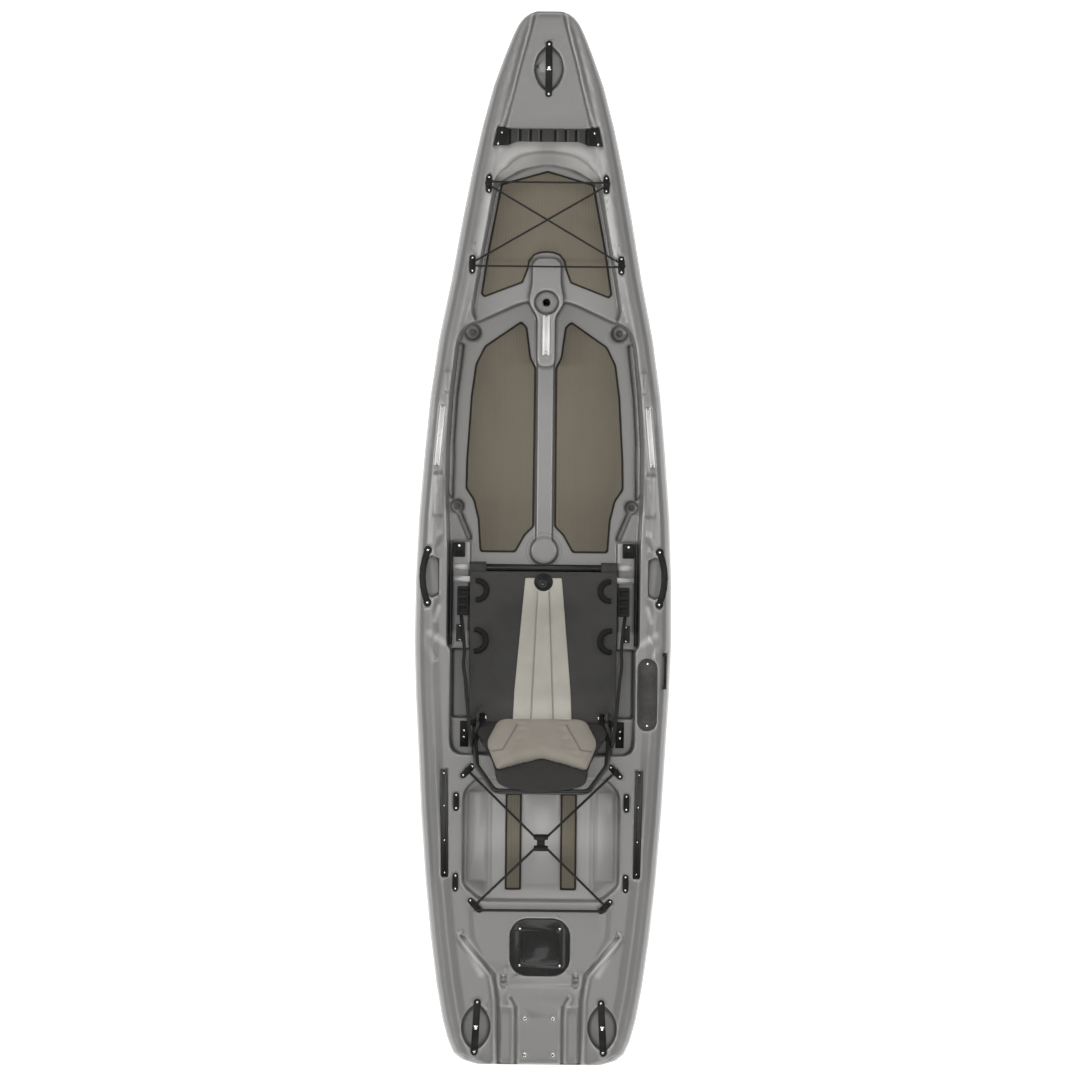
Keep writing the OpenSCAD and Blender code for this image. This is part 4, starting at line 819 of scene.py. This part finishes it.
def puffed(node, name, body, material, slot, cap, voxel=0.005, pressure=4.0):
    """A sewn cushion: the solid's shape, blown up a little by the cloth simulation."""
    obj = copy_of(node, name)
    obj.data.remesh_voxel_size = voxel
    make_active(obj)
    bpy.ops.object.voxel_remesh()
    apply_modifier(obj, "SMOOTH", factor=0.5, iterations=3)
    start = points_of(obj)
    make_active(obj)
    cloth = obj.modifiers.new("Cloth", "CLOTH")
    cloth.settings.use_pressure = True
    cloth.settings.uniform_pressure_force = pressure
    cloth.settings.effector_weights.gravity = 0
    cloth.settings.quality = 5
    cloth.settings.tension_stiffness = 12
    cloth.settings.compression_stiffness = 12
    cloth.settings.bending_stiffness = 0.6
    cloth.point_cache.frame_start = 1
    cloth.point_cache.frame_end = 20
    for step in range(1, 21):
        bpy.context.scene.frame_set(step)
    shape = obj.evaluated_get(bpy.context.evaluated_depsgraph_get())
    moved = points_of(shape)
    obj.modifiers.remove(cloth)
    bpy.context.scene.frame_set(1)
    shift = moved - start
    far = np.linalg.norm(shift, axis=1, keepdims=True)
    set_points(obj, start + shift * np.minimum(1, cap / np.maximum(far, 1e-9)))
    apply_modifier(obj, "SUBSURF", levels=1, render_levels=1)
    smooth_shade(obj, 80)
    return finish_piece(obj, material, body, slot, node)


def widen_foot(sheet):
    """The backrest fabric is wider at its foot, where it wraps round the frame."""
    co = points_of(sheet)
    co[:, 0] *= 1 + 0.055 * smoothstep((co[:, 1] + 0.775) / 0.03)
    set_points(sheet, co)


def bulge(straps):
    """The tension straps stand off the seat's sides half way along."""
    co = points_of(straps)
    half_way = np.exp(-((co[:, 1] + 0.45) / 0.07) ** 2)
    middle = np.where(co[:, 0] > 0, 1, -1) * (0.262 + 0.022 * half_way)
    co[:, 0] += 0.5 * (middle - co[:, 0]) * half_way * (np.abs(co[:, 0]) > 0.2)
    set_points(straps, co)


SLING = subdivided("seat_sling", "seat", MESH, "mesh")
reach_back(SLING, -0.560, -0.655, 0.006)
wrinkle(SLING, 0.0022, 0.4)
CENTRE = subdivided("seat_centre_panel", "seat", PANEL, "panel")
reach_back(CENTRE, -0.540, -0.652, 0.006)
BACK_PAD = puffed("back_pad", "back_cushion", "backrest", BACK_CLOTH, "back_cloth", 0.005)
BACK_SHEET = subdivided("back_fabric", "backrest", BACK_TOP, "mesh", 1)
STRAPS = subdivided("back_straps", "seat", WEBBING, "webbing")
widen_foot(BACK_SHEET)
bulge(STRAPS)
fuller(STRAPS, 0.0050)


# Camera, floor and light

# The photograph looks straight down and is turned by half a degree
PHOTO_WIDTH = 1080 * 0.003546
VIEW_HEIGHT = 40.0
RAIL_HEIGHT = 0.33
ROLL = math.radians(0.60)
SIGHT = (-0.0142, -0.0053)

lens = bpy.data.cameras.new("camera")
lens.sensor_width = 36.0
lens.lens = 36.0 * (VIEW_HEIGHT - RAIL_HEIGHT) / PHOTO_WIDTH
camera = bpy.data.objects.new("camera", lens)
camera.location = (*SIGHT, VIEW_HEIGHT)
camera.rotation_euler = (0.0, 0.0, ROLL)
bpy.context.scene.collection.objects.link(camera)
bpy.context.scene.camera = camera


def floor_material():
    """White to the camera with the object's shadow on it, and dark under the hull's drains."""
    material = bpy.data.materials.new("studio_floor")
    material.use_nodes = True
    tree = material.node_tree
    tree.nodes.clear()
    path = tree.nodes.new("ShaderNodeLightPath")
    seen = tree.nodes.new("ShaderNodeMath")
    seen.operation = "MAXIMUM"
    tree.links.new(path.outputs["Is Camera Ray"], seen.inputs[0])
    tree.links.new(path.outputs["Is Glossy Ray"], seen.inputs[1])
    diffuse = tree.nodes.new("ShaderNodeBsdfDiffuse")
    diffuse.inputs["Color"].default_value = (0.80, 0.80, 0.80, 1)
    glow = tree.nodes.new("ShaderNodeEmission")
    place = tree.nodes.new("ShaderNodeTexCoord")
    shrink = tree.nodes.new("ShaderNodeMapping")
    shrink.inputs["Scale"].default_value = (1 / 0.345, 1 / 1.45, 1.0)
    reach = tree.nodes.new("ShaderNodeVectorMath")
    reach.operation = "LENGTH"
    under = tree.nodes.new("ShaderNodeMapRange")
    under.inputs["From Min"].default_value = 0.96
    under.inputs["From Max"].default_value = 1.0
    under.inputs["To Max"].default_value = 0.72
    tree.links.new(place.outputs["Object"], shrink.inputs["Vector"])
    tree.links.new(shrink.outputs[0], reach.inputs[0])
    tree.links.new(reach.outputs["Value"], under.inputs["Value"])
    tree.links.new(under.outputs[0], glow.inputs["Strength"])
    both = tree.nodes.new("ShaderNodeAddShader")
    mix = tree.nodes.new("ShaderNodeMixShader")
    out = tree.nodes.new("ShaderNodeOutputMaterial")
    tree.links.new(diffuse.outputs[0], both.inputs[0])
    tree.links.new(glow.outputs[0], both.inputs[1])
    tree.links.new(seen.outputs[0], mix.inputs["Fac"])
    tree.links.new(diffuse.outputs[0], mix.inputs[1])
    tree.links.new(both.outputs[0], mix.inputs[2])
    tree.links.new(mix.outputs[0], out.inputs["Surface"])
    return material


deselect()
floor = mesh_object("studio_floor", [(-12, -12, 0), (12, -12, 0), (12, 12, 0), (-12, 12, 0)], [(0, 1, 2, 3)])
floor.data.materials.append(floor_material())


def softbox(name, place, size_x, size_y, power):
    light = bpy.data.lights.new(name, "AREA")
    light.shape = "RECTANGLE"
    light.size = size_x
    light.size_y = size_y
    light.energy = power
    obj = bpy.data.objects.new(name, light)
    obj.location = place
    obj.rotation_euler = (-Vector(place)).to_track_quat("-Z", "Y").to_euler()
    obj.visible_camera = False
    bpy.context.scene.collection.objects.link(obj)


softbox("port_light", (-3.2, 0.3, 3.6), 0.45, 5.2, 74)
softbox("starboard_light", (3.2, 0.3, 3.6), 0.45, 5.2, 50)
softbox("bow_light", (0.0, 4.2, 3.4), 3.0, 0.6, 40)
softbox("stern_light", (0.0, -4.4, 2.2), 3.4, 0.7, 60)
softbox("top_light", (0.0, 0.0, 6.0), 1.6, 4.6, 48)

world = bpy.data.worlds.new("studio")
bpy.context.scene.world = world
world.use_nodes = True
backdrop = world.node_tree.nodes["Background"]
backdrop.inputs["Color"].default_value = (1, 1, 1, 1)
# White to the camera, and a soft light to everything else
rays = world.node_tree.nodes.new("ShaderNodeLightPath")
level = world.node_tree.nodes.new("ShaderNodeMapRange")
level.inputs["To Min"].default_value = 0.17
level.inputs["To Max"].default_value = 1.0
world.node_tree.links.new(rays.outputs["Is Camera Ray"], level.inputs["Value"])
world.node_tree.links.new(level.outputs[0], backdrop.inputs["Strength"])
bpy.context.scene.view_settings.view_transform = "Standard"
